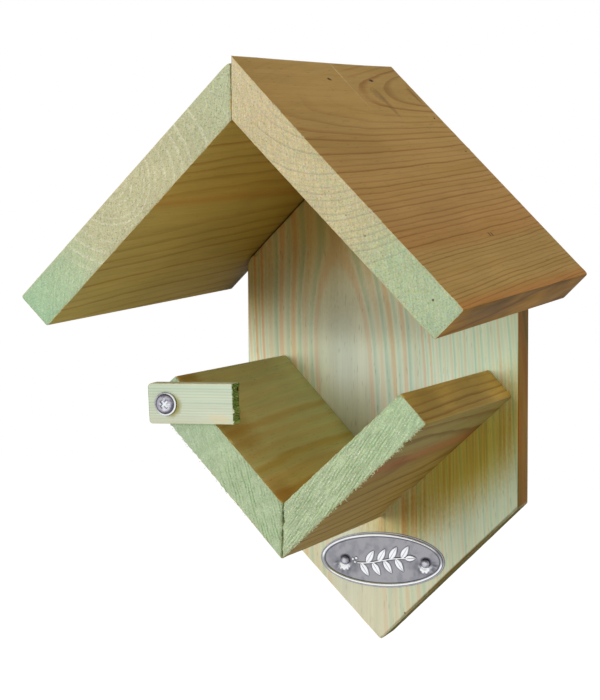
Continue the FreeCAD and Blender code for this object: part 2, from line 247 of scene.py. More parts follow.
# Fine fibres of a planed face, drawn out along the grain, with short dark resin ducts and
# fine straight lines along the grain, which are drawn more strongly inside painted shade
planed_fibre, taken, given = effect(
    "Planed fibre", {"Place": (0, 0, 0), "Seed": 0.0},
    {"Float": ["Streak", "Stain", "Duct", "Lines", "Height"]})
tree = planed_fibre
moved = vector(tree, "ADD", taken["Place"], put(tree, "CombineXYZ", {0: taken["Seed"]}))
fine = clouds(tree, moved, (1.7, 1.7, 0.035), detail=3.0, rough=0.6)
broad = clouds(tree, moved, (0.3, 0.3, 0.009), detail=2.0, seed=5.0)
stain = clouds(tree, moved, (0.03, 0.03, 0.012), detail=3.0, seed=8.0)
duct = clouds(tree, moved, (1.4, 1.4, 0.14), detail=1.0, seed=11.0)
lines = clouds(tree, moved, (0.75, 0.75, 0.002), detail=1.0, seed=51.0)
streak = times_plus(tree, broad, 0.5, times(tree, fine, 0.5))
hand_out(tree, given, {
    "Streak": fade(tree, streak, 0.3, 0.7), "Stain": fade(tree, stain, 0.3, 0.7),
    "Duct": fade(tree, duct, 0.66, 0.74), "Lines": fade(tree, lines, 0.4, 0.66),
    "Height": times_plus(tree, broad, 0.4, fine)})

# Open end grain as the saw leaves it: coloured flecks, pits, torn fibre and slanting saw marks
sawn_end, taken, given = effect(
    "Sawn end", {"Place": (0, 0, 0), "Saw Angle": 0.9, "Seed": 0.0},
    {"Float": ["Speck", "Hatch", "Patch", "Pit", "Groove", "Spark"], "Color": ["Fleck"]})
tree = sawn_end
moved = vector(tree, "ADD", taken["Place"], put(tree, "CombineXYZ", {2: taken["Seed"]}))
turned = put(tree, "VectorRotate", {"Vector": moved, "Angle": taken["Saw Angle"]}, rotation_type="Z_AXIS")
speck = clouds(tree, moved, (1.25, 1.25, 0.4), detail=3.0, rough=0.7)
hatch = clouds(tree, turned, (1.15, 0.13, 0.3), detail=2.0, rough=0.55, seed=2.0)
patch = clouds(tree, moved, (0.05, 0.05, 0.02), detail=2.0, seed=6.0)
pit = clouds(tree, moved, (1.5, 1.5, 0.4), detail=1.0, seed=14.0)
fleck = clouds(tree, moved, (0.8, 0.8, 0.3), detail=2.0, rough=0.7, seed=20.0, output="Color")
fleck = vector(tree, "MULTIPLY_ADD", fleck, (0.5, 0.3, 0.7), (0.75, 0.85, 0.65))
waves = put(tree, "TexWave", {"Vector": turned, "Scale": 0.22, "Distortion": 4.5, "Detail": 2.0,
                              "Detail Scale": 0.9, "Detail Roughness": 0.6}).outputs["Fac"]
kept = clouds(tree, turned, (0.4, 0.1, 0.2), detail=2.0, seed=33.0)
groove = times(tree, fade(tree, waves, 0.0, 0.5, 1.0, 0.0), fade(tree, kept, 0.42, 0.62))
spark = clouds(tree, moved, (1.6, 1.6, 0.5), detail=1.0, seed=41.0)
spark = times(tree, fade(tree, spark, 0.6, 0.68), fade(tree, waves, 0.3, 0.8))
hand_out(tree, given, {
    "Speck": fade(tree, speck, 0.32, 0.68), "Hatch": fade(tree, hatch, 0.4, 0.6),
    "Patch": fade(tree, patch, 0.32, 0.68), "Pit": fade(tree, pit, 0.6, 0.7),
    "Fleck": fleck, "Groove": groove, "Spark": spark})

# One oval mark on a board: a knot, a nail's smudge, a scratch, a stain, a patch of painted shade, or a
# painted shadow
mark, taken, given = effect(
    "Mark",
    {"Place": (0, 0, 0), "Centre": (0, 0, 0), "Half": (1, 1, 1), "Turn": 0.0, "Soft": 0.45, "Ragged": 0.3},
    {"Float": ["Mask"]})
tree = mark
off = vector(tree, "SUBTRACT", taken["Place"], taken["Centre"])
off = put(tree, "VectorRotate", {"Vector": off, "Angle": taken["Turn"]}, rotation_type="Y_AXIS")
reach = vector(tree, "LENGTH", vector(tree, "DIVIDE", off, taken["Half"]))
broken = clouds(tree, taken["Place"], (0.9, 0.9, 0.45), detail=2.0, seed=17.0)
reach = times_plus(tree, calc(tree, "SUBTRACT", broken, 0.5), taken["Ragged"], reach)
core = calc(tree, "SUBTRACT", 1.0, taken["Soft"])
hand_out(tree, given, {"Mask": fade(tree, reach, core, 1.0, 1.0, 0.0)})


def board_axes(origin, across, through, along):
    """A board's own axes: where it starts and its directions across, through and along the grain."""
    return {"origin": Vector(origin), "across": Vector(across), "through": Vector(through),
            "along": Vector(along)}


def treated_pine(name, axes, rings, planed, late, early, sawn, sawn_late, seed, side, side_stain=0.4,
                 other_side=None, lengthwise=None, late_share=0.7, early_share=0.3, heart=None, quiet=None,
                 quiet_until=None, rings_fade=None, ducts=0.8, saw_angle=0.9, coarse=0.5, end_quiet=(),
                 ring_share=0.5, ring_kind="MULTIPLY", end_tint=1.0, grooves=0.0, smooth_end=None,
                 sparks=0.0, shade_line_tone=(216, 190, 150), painted_shades=(), marks=()):
    """Pressure-treated pine: planed faces in one set of tints, sawn ends in another.

    planed and sawn are runs of colour across the board, and lengthwise is one along it. heart, quiet,
    quiet_until, rings_fade and end_quiet hush the rings where the real board shows few of them. A painted
    shade is (centre, half lengths, turn, tone, share, share of grain lines drawn in shade_line_tone) and lies
    on planed faces only. A mark is (centre, half lengths, tone, share, raggedness). Their places are in mm
    across, through and along.
    """
    material, tree = blank_material(name)
    spot = put(tree, "TexCoord").outputs["Object"]
    lies = apply(tree, board_place, {
        "Object": spot, "Origin": axes["origin"], "Across": axes["across"],
        "Through": axes["through"], "Along": axes["along"]})
    place = lies["Place"]
    grown = apply(tree, growth_rings, dict({"Place": place, "Seed": seed}, **rings))
    fibre = apply(tree, planed_fibre, {"Place": place, "Seed": seed * 3.0})
    rough_end = apply(tree, sawn_end, {"Place": place, "Saw Angle": saw_angle, "Seed": seed})
    is_sawn, is_side, is_edge = (painted(tree, label) for label in ("sawn", "side", "edge"))

    # How strongly the late and the early wood show
    late_amount = times(tree, grown["Late"], times_plus(tree, grown["Band"], 0.7, 0.3))
    shown = late_amount
    early_amount = times(tree, grown["Early"],
                         times_plus(tree, grown["Tint"], 0.6 * early_share, 0.4 * early_share))
    if heart:
        beyond_heart = fade(tree, grown["Radius"], *heart)
        shown = times(tree, shown, beyond_heart)
        early_amount = times(tree, early_amount, beyond_heart)
    if quiet:
        hushed = fade(tree, lies["Across"], *quiet)
        if quiet_until:
            hushed = calc(tree, "MAXIMUM", hushed, fade(tree, lies["Along"], *quiet_until))
        shown = times(tree, shown, hushed)
    if rings_fade:
        left = fade(tree, lies["Along"], *rings_fade)
        shown = times(tree, shown, left)
        early_amount = times(tree, early_amount, left)

    # Planed faces. Where they turn away from the front, their warm golden-brown tints are partly the wood's
    # own colour and partly painted shade
    face = wash(tree, lies["Across"], planed)
    # other_side gives the face at one depth through the board a tint of its own, used for painted light and
    # painted shade as noted where it is given
    if other_side:
        from_depth, to_depth, tone = other_side
        face = blend_colours(tree, fade(tree, lies["Through"], from_depth, to_depth), face, tone)
    face = blend_colours(tree, is_side, face, side)
    if lengthwise:
        face = blend_colours(tree, 1.0, face, wash(tree, lies["Along"], lengthwise), "MULTIPLY")
    late_tone = blend_colours(tree, grown["Tint"], late[0], late[1])
    face = blend_colours(tree, times(tree, shown, late_share), face, late_tone, "MULTIPLY")
    face = blend_colours(tree, early_amount, face, early, "MULTIPLY")
    stained = times(tree, calc(tree, "SUBTRACT", fibre["Stain"], 0.6),
                    times_plus(tree, is_side, side_stain, 0.14))
    face = dimmed(tree, face, times_plus(tree, fibre["Streak"], 0.12, 0.90), calc(tree, "ADD", stained, 1.0),
                  times_plus(tree, fibre["Duct"], -0.22 * ducts, 1.0))

    # Sawn ends
    end = wash(tree, lies["Across"], sawn)
    end_rings = times(tree, late_amount, times_plus(tree, rough_end["Speck"], 0.9, 0.4))
    for hush in end_quiet:
        end_rings = times(tree, end_rings, fade(tree, lies["Across"], *hush))
    end = blend_colours(tree, times(tree, end_rings, ring_share), end, sawn_late, ring_kind)
    end = blend_colours(tree, end_tint, end, rough_end["Fleck"], "MULTIPLY")
    pitted = times(tree, rough_end["Pit"], -0.28)
    cut_in = times(tree, rough_end["Groove"], grooves)
    if smooth_end:
        rough_here = fade(tree, lies["Across"], *smooth_end)
        pitted = times(tree, pitted, rough_here)
        cut_in = times(tree, cut_in, rough_here)
    end = dimmed(tree, end, times_plus(tree, rough_end["Speck"], 0.14 + 0.1 * coarse, 0.91 - 0.05 * coarse),
                 times_plus(tree, rough_end["Hatch"], 0.16 * coarse, 1.0 - 0.08 * coarse),
                 times_plus(tree, rough_end["Patch"], 0.06, 0.97), calc(tree, "ADD", pitted, 1.0))
    if grooves:
        end = blend_colours(tree, cut_in, end, (176, 206, 166), "MULTIPLY")
    if sparks:
        end = blend_colours(tree, times(tree, rough_end["Spark"], sparks), end, (240, 240, 216))

    # Chipped edges, painted shade and marks
    surface = blend_colours(tree, is_sawn, face, end)
    chipped = times(tree, fade(tree, is_edge, 0.45, 1.0), times_plus(tree, rough_end["Speck"], 0.6, 0.1))
    surface = blend_colours(tree, chipped, surface, (222, 208, 160))
    is_planed = calc(tree, "SUBTRACT", 1.0, is_sawn)
    # Painted shade: soft darker patches multiplied into the planed faces, with the grain lines drawn more
    # strongly inside them
    for centre, half, turn, tone, share, shade_line_share in painted_shades:
        mask = apply(tree, mark, {
            "Place": place, "Centre": centre, "Half": half, "Turn": turn, "Soft": 0.8})["Mask"]
        mask = times(tree, mask, is_planed)
        surface = blend_colours(tree, times(tree, mask, share), surface, tone, "MULTIPLY")
        lines = times(tree, mask, fibre["Lines"], shade_line_share)
        surface = blend_colours(tree, lines, surface, shade_line_tone, "MULTIPLY")
    for centre, half, tone, share, ragged in marks:
        mask = apply(tree, mark, {"Place": place, "Centre": centre, "Half": half, "Ragged": ragged})["Mask"]
        surface = blend_colours(tree, times(tree, mask, share), surface, tone)

    # Relief and dull gloss
    height = times_plus(tree, grown["Late"], 0.12, times(tree, fibre["Height"], 0.25))
    rough_height = times_plus(tree, rough_end["Hatch"], coarse, rough_end["Speck"])
    rough_height = times_plus(tree, rough_end["Pit"], -0.6, rough_height)
    height = put(tree, "Mix", {0: is_sawn, 2: height, 3: rough_height}, data_type="FLOAT")
    bump = put(tree, "Bump", {"Height": height, "Strength": 0.6, "Distance": 0.0005})
    roughness = times_plus(tree, is_sawn, 0.2, times_plus(tree, fibre["Streak"], -0.12, 0.7))
    show(tree, put(tree, "BsdfPrincipled", {
        "Base Color": surface, "Roughness": roughness, "Normal": bump, "Specular IOR Level": 0.08}))
    return material


def cut_board(node, axes, across_cuts, through_cuts, along_cuts):
    """A welded copy of a CAD board, cut into strips and stations so that its edges can be worn."""
    shape = bmesh.new()
    shape.from_mesh(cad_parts[node].data)
    bmesh.ops.remove_doubles(shape, verts=shape.verts, dist=2e-6)
    bmesh.ops.dissolve_limit(shape, angle_limit=math.radians(0.4), verts=shape.verts, edges=shape.edges)
    for direction, cuts in (("across", across_cuts), ("through", through_cuts), ("along", along_cuts)):
        for cut in cuts:
            everything = shape.verts[:] + shape.edges[:] + shape.faces[:]
            bmesh.ops.bisect_plane(shape, geom=everything, dist=1e-7,
                                   plane_co=axes["origin"] + axes[direction] * (cut * MM),
                                   plane_no=axes[direction])
    return shape


def measured(axes, point):
    """A point as mm across, through and along its board."""
    offset = (point - axes["origin"]) * 1000.0
    return offset.dot(axes["across"]), offset.dot(axes["through"]), offset.dot(axes["along"])


def moved_by(axes, across, through, along):
    """A move of so many mm across, through and along a board."""
    return (axes["across"] * across + axes["through"] * through + axes["along"] * along) * MM


def wear_edges(shape, axes, end_wear, long_wear, seed, inside, shift):
    """Chips the sawn edges, rubs the long ones and marks both as worn, but not the holes inside."""
    shape.normal_update()
    edge = shape.verts.layers.float.new("edge")
    moves = []
    for vert in shape.verts:
        ends = [abs(face.normal.dot(axes["along"])) > 0.7 for face in vert.link_faces]
        bend = 1.0 - min([vert.normal.dot(face.normal) for face in vert.link_faces] or [1.0])
        across, through, along = measured(axes, vert.co)
        depth = 0.0
        if bend > 0.02 and not inside(across, along):
            vert[edge] = 1.0
            if any(ends) and not all(ends):
                here = Vector((across * 0.7, through * 0.7, along * 0.12 + seed * 13.0))
                depth = end_wear * (0.5 + 0.5 * noise.noise(here) + 0.4 * noise.noise(here * 0.21))
            else:
                here = Vector((across * 0.05, through * 0.05, along * 0.02 + seed * 7.0))
                depth = long_wear * (0.5 + 0.5 * noise.noise(here))
        move = vert.normal * (-max(0.0, depth) * MM * min(1.0, bend * 5.0))
        moves.append(move + moved_by(axes, *shift(across, through, along)))
    for vert, move in zip(shape.verts, moves):
        vert.co += move


def in_scene(name, data):
    """An object for a mesh, a camera or a light."""
    made = bpy.data.objects.new(name, data)
    bpy.context.scene.collection.objects.link(made)
    return made


def rounded(mesh, sharp_from):
    """Shades a mesh smooth, apart from edges that turn by more than some degrees."""
    mesh.polygons.foreach_set("use_smooth", [True] * len(mesh.polygons))
    mesh.set_sharp_from_angle(angle=math.radians(sharp_from))


def finished_board(shape, name, node, axes, material):
    """Turns the cut and worn board into its piece, with its sawn faces and its sides painted as masks."""
    shape.normal_update()
    mesh = bpy.data.meshes.new(name)
    sawn, side = [], []
    for face in shape.faces:
        is_mitre = face.normal.dot(axes["through"] - axes["across"]) > 1.15
        is_end = abs(face.normal.dot(axes["along"])) > 0.6
        sawn.append(1.0 if is_mitre or is_end else 0.0)
        side.append(1.0 if abs(face.normal.dot(axes["across"])) > 0.7 else 0.0)
    shape.to_mesh(mesh)
    shape.free()
    for label, values in (("sawn", sawn), ("side", side)):
        mesh.attributes.new(label, "FLOAT", "FACE").data.foreach_set("value", values)
    mesh.materials.append(material)
    rounded(mesh, 35.0)
    piece = in_scene(name, mesh)
    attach(piece, "feeder")
    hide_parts(node)
    return piece


def make_board(name, node, axes, cuts, wear, inside, shift, material):
    """Cuts up a CAD board, wears its edges and makes its piece of it."""
    shape = cut_board(node, axes, *cuts)
    wear_edges(shape, axes, *wear, inside, shift)
    return finished_board(shape, name, node, axes, material)


def in_back_board(across, along):
    """Whether a place lies inside the back board's outline, clear of its worn edges."""
    off_middle = abs(across)
    below_gable = along - off_middle > gable_start + worn_edge
    above_point = ridge_to_tip - worn_tip - along > off_middle
    return off_middle < half_width - worn_edge and below_gable and above_point


def steps(first, last, gap):
    """Cuts at even gaps."""
    return [first + gap * i for i in range(int((last - first) / gap) + 1)]


back_axes = board_axes((0, -thickness * MM, ridge_height * MM), (1, 0, 0), (0, 1, 0), (0, 0, -1))
shaded = (240, 216, 160)
back_pine = treated_pine(
    "Back board pine", back_axes,
    {"Pith Across": -28.5, "Pith Through": -16.0, "Lean Across": 0.06, "Rise": 12.0, "Rise From": 85.0,
     "Rise To": 150.0, "Ring Width": 6.2, "Outer Ring Width": 3.6, "Outer From": 43.0, "Waver": 0.6,
     "Swell": 2.1, "Late From": 0.45, "Late Full": 0.7, "Late End": 0.82},
    planed=[(-half_width, (248, 252, 218)), (-45, (248, 250, 220)), (-34, (244, 250, 226)),
            (-20, (238, 249, 236)), (-6, (242, 250, 232)), (20, (234, 248, 228)),
            (half_width, (218, 233, 205))],
    late=((254, 184, 160), (253, 220, 186)), early=(212, 237, 237), heart=(14.0, 16.0),
    quiet=(6.0, 44.0, 1.0, 0.5),
    # The dark olive tint of the sawn edges is partly painted shade, set for the edges of the point that face
    # downwards
    sawn=[(-half_width, (134, 128, 72)), (half_width, (128, 118, 60))],
    # The lengthwise run is painted shade and light: browner and darker under the roof, brightest in the bay
    # between the cradle boards, and darker again towards the point
    lengthwise=[(20, (234, 216, 190)), (84, (230, 220, 200)), (116, (214, 208, 196)),
                (130, (222, 220, 214)), (144, (238, 238, 234)), (156, (255, 255, 255)),
                (176, (255, 255, 252)), (196, (238, 238, 228)), (225, (232, 228, 218)),
                (262, (224, 214, 200)), (ridge_to_tip, (222, 210, 194))],
    # The warm brown of the side faces is partly painted shade
    sawn_late=(225, 205, 160), side=(168, 122, 42), side_stain=0.2, seed=1.0,
    late_share=0.8, early_share=0.9, rings_fade=(160.0, 196.0, 1.0, 0.7),
    shade_line_tone=(232, 206, 178),
    # Painted shade: the roof's shade over the gable and down the left edge, a band of it across the middle of
    # the bay, the cradle's shadow below the right board and under the V, and a dark band along the lower
    # right edge where its rounding lies in shade
    painted_shades=[((-32.0, 0.0, 58.0), (84.0, 14.0, 78.0), 0.0, shaded, 1.0, 0.1),
            ((-74.0, 0.0, 100.0), (26.0, 14.0, 46.0), 0.0, shaded, 0.8, 0.1),
            ((-4.0, 0.0, 127.0), (56.0, 14.0, 18.0), 0.0, (236, 232, 226), 1.0, 0.0),
            ((46.0, 0.0, 192.4), (84.0, 14.0, 31.0), -0.76, (242, 210, 112), 1.0, 0.7),
            ((10.0, 0.0, 228.0), (30.0, 14.0, 20.0), -0.3, (246, 224, 160), 0.5, 0.5),
            ((40.0, 0.0, 250.3), (80.0, 14.0, 1.3), -0.785, (134, 112, 72), 1.0, 0.0)],
    marks=[((13.0, 0.0, 276.0), (0.7, 2.0, 0.8), (120, 90, 50), 0.8, 0.2)])


def left_roof_stands_off(across, through, along):
    """The back board's left gable edge stops a little short of the roof, more so towards the eave."""
    if across > 0.0 or along > -across + gable_start + 0.7:
        return 0.0, 0.0, 0.0
    short = 0.4 + 0.4 * (-across / half_width) ** 2
    return 0.7 * short, 0.0, 0.7 * short


back_cuts = (steps(-72, 72, 3.0), [1.5, 4.5, 9.0, 13.5, 16.5], steps(28, 288, 4.0))
make_board("back_plank", "back_board", back_axes, back_cuts, (0.25, 0.3, 1.0), in_back_board,
           left_roof_stands_off, back_pine)


# Right roof board: planed pine with the grain running from front to back, mitred
# at the ridge and square at the eave. Its sawn front end shows the rings, and its
# weather face the smudged heads of two brads, a small knot and a scratch.

roof_depth = 198.0
ridge = (0, -roof_depth * MM, ridge_height * MM)
slope = math.sqrt(0.5)
right_roof_axes = board_axes(ridge, (slope, 0, -slope), (-slope, 0, -slope), (0, 1, 0))
smudge = (62, 46, 22)
right_roof_marks = [
    ((11.0, 0.0, 92.0), (1.0, 1.6, 3.4), smudge, 0.75, 0.9),
    ((11.0, 0.0, 148.0), (1.1, 1.6, 3.8), smudge, 0.8, 0.9),
    ((14.3, 0.0, 21.4), (0.5, 1.0, 1.0), smudge, 0.5, 0.3),
    ((27.0, 0.0, 141.0), (10.0, 6.0, 3.6), (128, 92, 44), 0.4, 1.0),
    ((21.0, 0.0, 139.0), (6.0, 6.0, 7.0), (138, 104, 56), 0.4, 1.2),
    ((21.0, 0.0, 191.0), (6.5, 6.0, 2.2), (118, 86, 42), 0.5, 0.6),
    ((17.0, 0.0, 111.5), (17.0, 2.0, 0.8), (218, 182, 122), 0.6, 0.8),
    ((6.0, 0.0, 112.2), (7.0, 2.0, 1.2), (224, 192, 136), 0.75, 1.6),
    ((111.0, 0.0, 112.0), (1.6, 1.6, 0.9), smudge, 0.95, 0.4),
    ((111.2, 0.0, 115.4), (1.5, 1.6, 1.0), smudge, 0.95, 0.5),
    ((132.9, 6.8, 0.0), (0.7, 0.7, 2.0), smudge, 0.8, 0.2),
    ((93.9, 9.5, 0.0), (0.5, 0.5, 2.0), smudge, 0.6, 0.2),
    ((82.0, 9.4, 0.0), (0.5, 0.5, 2.0), smudge, 0.5, 0.2),
]
right_roof_pine = treated_pine(
    "Right roof pine", right_roof_axes,
    {"Pith Across": 28.0, "Pith Through": -30.0, "Lean Across": -0.05, "Lean Through": 0.075,
     "Ring Width": 2.75, "Outer Ring Width": 2.1, "Outer From": 89.2, "Waver": 0.6, "Swell": 0.1,
     "Late From": 0.55, "Late Full": 0.9, "Late End": 0.93},
    planed=[(0, (198, 158, 84)), (40, (200, 158, 82)), (80, (200, 154, 80)),
            (98, (202, 152, 78)), (110, (202, 150, 76)), (116, (200, 160, 84)),
            (138, (202, 162, 84)), (142, (204, 146, 68)), (board_width, (206, 142, 64))],
    late=((196, 168, 128), (210, 166, 124)), early=(250, 247, 234),
    sawn=[(0, (222, 206, 164)), (40, (222, 206, 160)), (90, (214, 204, 158)),
          (108, (192, 204, 160)), (board_width, (188, 206, 166))],
    sawn_late=(182, 190, 214), side=(166, 122, 43), side_stain=0.8,
    # The hidden underside gets a paler tint as painted light, so that it throws more light down into the bay
    other_side=(15.0, 17.0, (208, 192, 140)), sparks=0.35, seed=2.0, late_share=0.75, coarse=0.6,
    quiet=(18.0, 50.0, 0.12, 1.0), quiet_until=(112.0, 130.0),
    end_quiet=[(10.0, 44.0, 0.2, 1.0), (100.0, 116.0, 1.0, 0.3)], marks=right_roof_marks)
near_front = [0.5, 1.5, 3.0, 6.0, 12.0, 24.0, 48.0, 80.0, 120.0, 160.0, 185.0, 194.0, 197.4]
roof_cuts = (steps(1.5, 144, 1.5), steps(1.5, 17, 1.5), near_front)


def right_ridge_stands_proud(across, through, along):
    """The right board stands a little higher than its neighbour at the front of the ridge."""
    near = max(0.0, 1.0 - across / 70.0) ** 2 * max(0.0, 1.0 - along / 150.0)
    rise = 1.15 * near * (1.0 - through / 30.0)
    return -0.75 * rise, -rise, 0.0


def in_roof_board(across, along):
    """Whether a place lies inside a roof board's faces, clear of their edges and of the mitre's foot."""
    on_face = 3.0 < across < thickness - 3.0 or thickness + 3.0 < across < board_width - 3.0
    return on_face and 3.0 < along < roof_depth - 3.0


make_board("roof_plank_right", "roof_board_right", right_roof_axes, roof_cuts, (0.5, 0.3, 2.0),
           in_roof_board, right_ridge_stands_proud, right_roof_pine)


# Left roof board: the same plank stock, sawn from nearer the pith, so its end
# shows tight curved rings. Its mitre is chipped at the front and leaves a dark gap.

left_roof_axes = board_axes(ridge, (-slope, 0, -slope), (slope, 0, -slope), (0, 1, 0))
left_roof_pine = treated_pine(
    "Left roof pine", left_roof_axes,
    {"Pith Across": 77.0, "Pith Through": -4.0, "Lean Across": -0.05, "Ring Width": 2.7,
     "Outer Ring Width": 4.5, "Outer From": 21.6, "Waver": 0.8,
     "Late From": 0.5, "Late Full": 0.9, "Late End": 0.92},
    planed=[(0, (208, 178, 86)), (45, (212, 178, 88)), (64, (210, 174, 82)),
            (69, (206, 160, 74)), (73, (210, 180, 92)), (110, (204, 178, 92)),
            (board_width, (200, 178, 92))],
    late=((200, 172, 118), (212, 166, 112)), early=(250, 247, 232),
    # The lengthwise run darkens the board towards the back as painted shade, deepest next to the back board
    lengthwise=[(0, (255, 255, 255)), (60, (252, 250, 240)), (125, (232, 226, 206)),
                (roof_depth, (206, 196, 160))],
    sawn=[(0, (200, 208, 168)), (40, (204, 202, 160)), (60, (212, 206, 162)),
          (100, (210, 207, 164)), (118, (192, 210, 168)), (board_width, (178, 212, 170))],
    sawn_late=(238, 234, 202), ring_kind="MIX", ring_share=0.65,
    end_quiet=[(12.0, 36.0, 0.2, 1.0), (104.0, 124.0, 1.0, 0.15)],
    # The outer face is toned duller as painted shade, to offset the light that falls on it
    other_side=(2.5, 1.5, (206, 186, 132)),
    end_tint=0.7, smooth_end=(92.0, 116.0, 1.0, 0.3), sparks=0.35, side=(140, 112, 60), seed=3.0,
    late_share=0.6,
    # Painted shade at the rear of the underside, by the eave, in the corner against the back board
    painted_shades=[((147.0, 16.0, 203.0), (46.0, 36.0, 24.0), 0.0, (122, 132, 60), 1.0, 0.0)])


def left_mitre_is_chipped(across, through, along):
    """The mitre stands a little open; its front edge is torn and rounded off at the top."""
    from_mitre = across - through
    corner = (max(0.0, 1.0 - through / 3.0) * max(0.0, 1.0 - from_mitre / 5.5) ** 1.6
              * math.exp(-along / 6.0))
    if from_mitre > 3.0:
        return 0.0, corner, 0.0
    chip = (0.15 + 0.45 * max(0.0, 1.0 - through / 16.0)) * math.exp(-along / 5.0)
    ragged = 0.25 * noise.noise(Vector((through * 0.6, along * 0.4, 2.0))) * math.exp(-along / 8.0)
    return (0.1 + chip + ragged) * (1.0 - max(0.0, from_mitre) / 3.0), corner, 0.0


make_board("roof_plank_left", "roof_board_left", left_roof_axes, roof_cuts, (0.5, 0.3, 3.0),
           in_roof_board, left_mitre_is_chipped, left_roof_pine)


# Brads and screws of the boards: flat-wire brads shot through the roof and the
# cradle, their heads sunk under the wood, and four countersunk screws through
# the back board. They are CAD pieces with a wire and a zinc finish.

dull_metal, taken, given = effect(
    "Dull metal", {"Object": (0, 0, 0), "Grain": (900.0, 900.0, 900.0)},
    {"Float": ["Grime", "Scratch", "Height"]})
tree = dull_metal
grained = vector(tree, "MULTIPLY", taken["Object"], taken["Grain"])
spots = put(tree, "TexNoise", {"Vector": grained, "Scale": 1.0, "Detail": 4.0}).outputs["Fac"]
rolled = vector(tree, "MULTIPLY", taken["Object"], (5200.0, 5200.0, 260.0))
lines = put(tree, "TexNoise", {"Vector": rolled, "Scale": 1.0, "Detail": 2.0}).outputs["Fac"]
hand_out(tree, given, {
    "Grime": fade(tree, spots, 0.42, 0.66), "Scratch": fade(tree, lines, 0.35, 0.65),
    "Height": times_plus(tree, lines, 0.6, spots)})


def metal(name, bright, grimy, polish, grime_and_shade, polish_and_glint, grain=(900.0, 900.0, 900.0), streaks=0.12):
    """Plated or plain metal: grime and painted shade in its hollows, polish and painted highlights on its
    raised parts, fine rolled lines.
    """
    material, tree = blank_material(name)
    spot = put(tree, "TexCoord").outputs["Object"]
    texture = apply(tree, dull_metal, {"Object": spot, "Grain": grain})
    # Masks painted on the mesh: grime and painted shade in its hollows, polish and painted highlights on its
    # raised parts
    grime_and_shade_mask, raised = painted(tree, "grime_and_shade"), painted(tree, "polish_and_glint")
    surface = blend_colours(tree, texture["Grime"], bright, grimy)
    surface = dimmed(tree, surface, times_plus(tree, texture["Scratch"], streaks, 1.0 - streaks))
    surface = blend_colours(tree, raised, surface, polish_and_glint)
    surface = blend_colours(tree, grime_and_shade_mask, surface, grime_and_shade)
    roughness = times_plus(tree, grime_and_shade_mask, 0.3, times_plus(tree, texture["Grime"], 0.15, polish))
    normal = put(tree, "Bump", {"Height": texture["Height"], "Strength": 0.05, "Distance": 0.0002})
    show(tree, put(tree, "BsdfPrincipled", {
        "Base Color": surface, "Metallic": 1.0, "Roughness": roughness, "Normal": normal}))
    return material


# Each metal's last two colours are those of its grime and painted shade, and of its polish and painted
# highlights
wire_steel = metal("Drawn wire steel", (120, 112, 98), (70, 58, 40), 0.45, (60, 52, 40), (170, 168, 160))
zinc_plate = metal("Zinc plate", (186, 184, 194), (150, 146, 160), 0.25, (52, 50, 62), (240, 244, 248),
                   streaks=0.05)
for finish, nodes in ((wire_steel, ("ridge_brads", "roof_brads_left", "roof_brads_right", "cradle_brads")),
                      (zinc_plate, ("cradle_screws_left", "cradle_screws_right"))):
    for node in nodes:
        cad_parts[node].data.materials.clear()
        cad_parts[node].data.materials.append(finish)


# Cradle: two short boards mitred into a V that leans a little to the left and
# falls towards the back. Their front ends are coarsely sawn, and torn fibres
# hang from their lower edges, most of them from the right one's.

lean = math.radians(1.8)
fall = math.radians(2.0)
right_rise = math.radians(45.0) - lean
left_rise = math.radians(135.0) - lean
arm_width = 95.0
cradle_front = -148.0
ridge_to_vertex = 223.0
vertex = (0, cradle_front * MM, (ridge_height - ridge_to_vertex) * MM)
run = (0, math.cos(fall), -math.sin(fall))
right_arm_axes = board_axes(vertex, (math.cos(right_rise), 0, math.sin(right_rise)),
                            (-math.sin(right_rise), 0, math.cos(right_rise)), run)
left_arm_axes = board_axes(vertex, (math.cos(left_rise), 0, math.sin(left_rise)),
                           (math.sin(left_rise), 0, -math.cos(left_rise)), run)
right_arm_pine = treated_pine(
    "Right cradle pine", right_arm_axes,
    {"Pith Across": 60.0, "Pith Through": 60.0, "Ring Width": 3.4, "Waver": 0.8,
     "Late From": 0.5, "Late Full": 0.88, "Late End": 0.9},
    planed=[(0, (172, 144, 76)), (50, (172, 144, 74)), (58, (160, 126, 68)),
            (63, (172, 116, 66)), (67, (164, 130, 76)), (74, (160, 144, 84)),
            (arm_width, (168, 146, 76))],
    late=((176, 142, 100), (190, 140, 98)), early=(250, 247, 234),
    sawn=[(0, (192, 208, 168)), (50, (196, 212, 170)), (arm_width, (192, 216, 172))],
    # The hidden inner face gets a bright golden tint as painted light, so that it throws more light onto the
    # left board's inner face
    sawn_late=(214, 220, 200), side=(222, 184, 92), other_side=(15.0, 17.0, (238, 224, 150)),
    saw_angle=1.36, coarse=1.1, seed=4.0, end_tint=0.6, grooves=0.65, smooth_end=(66.0, 92.0, 1.0, 0.25),
    sparks=1.0, ring_share=0.25)
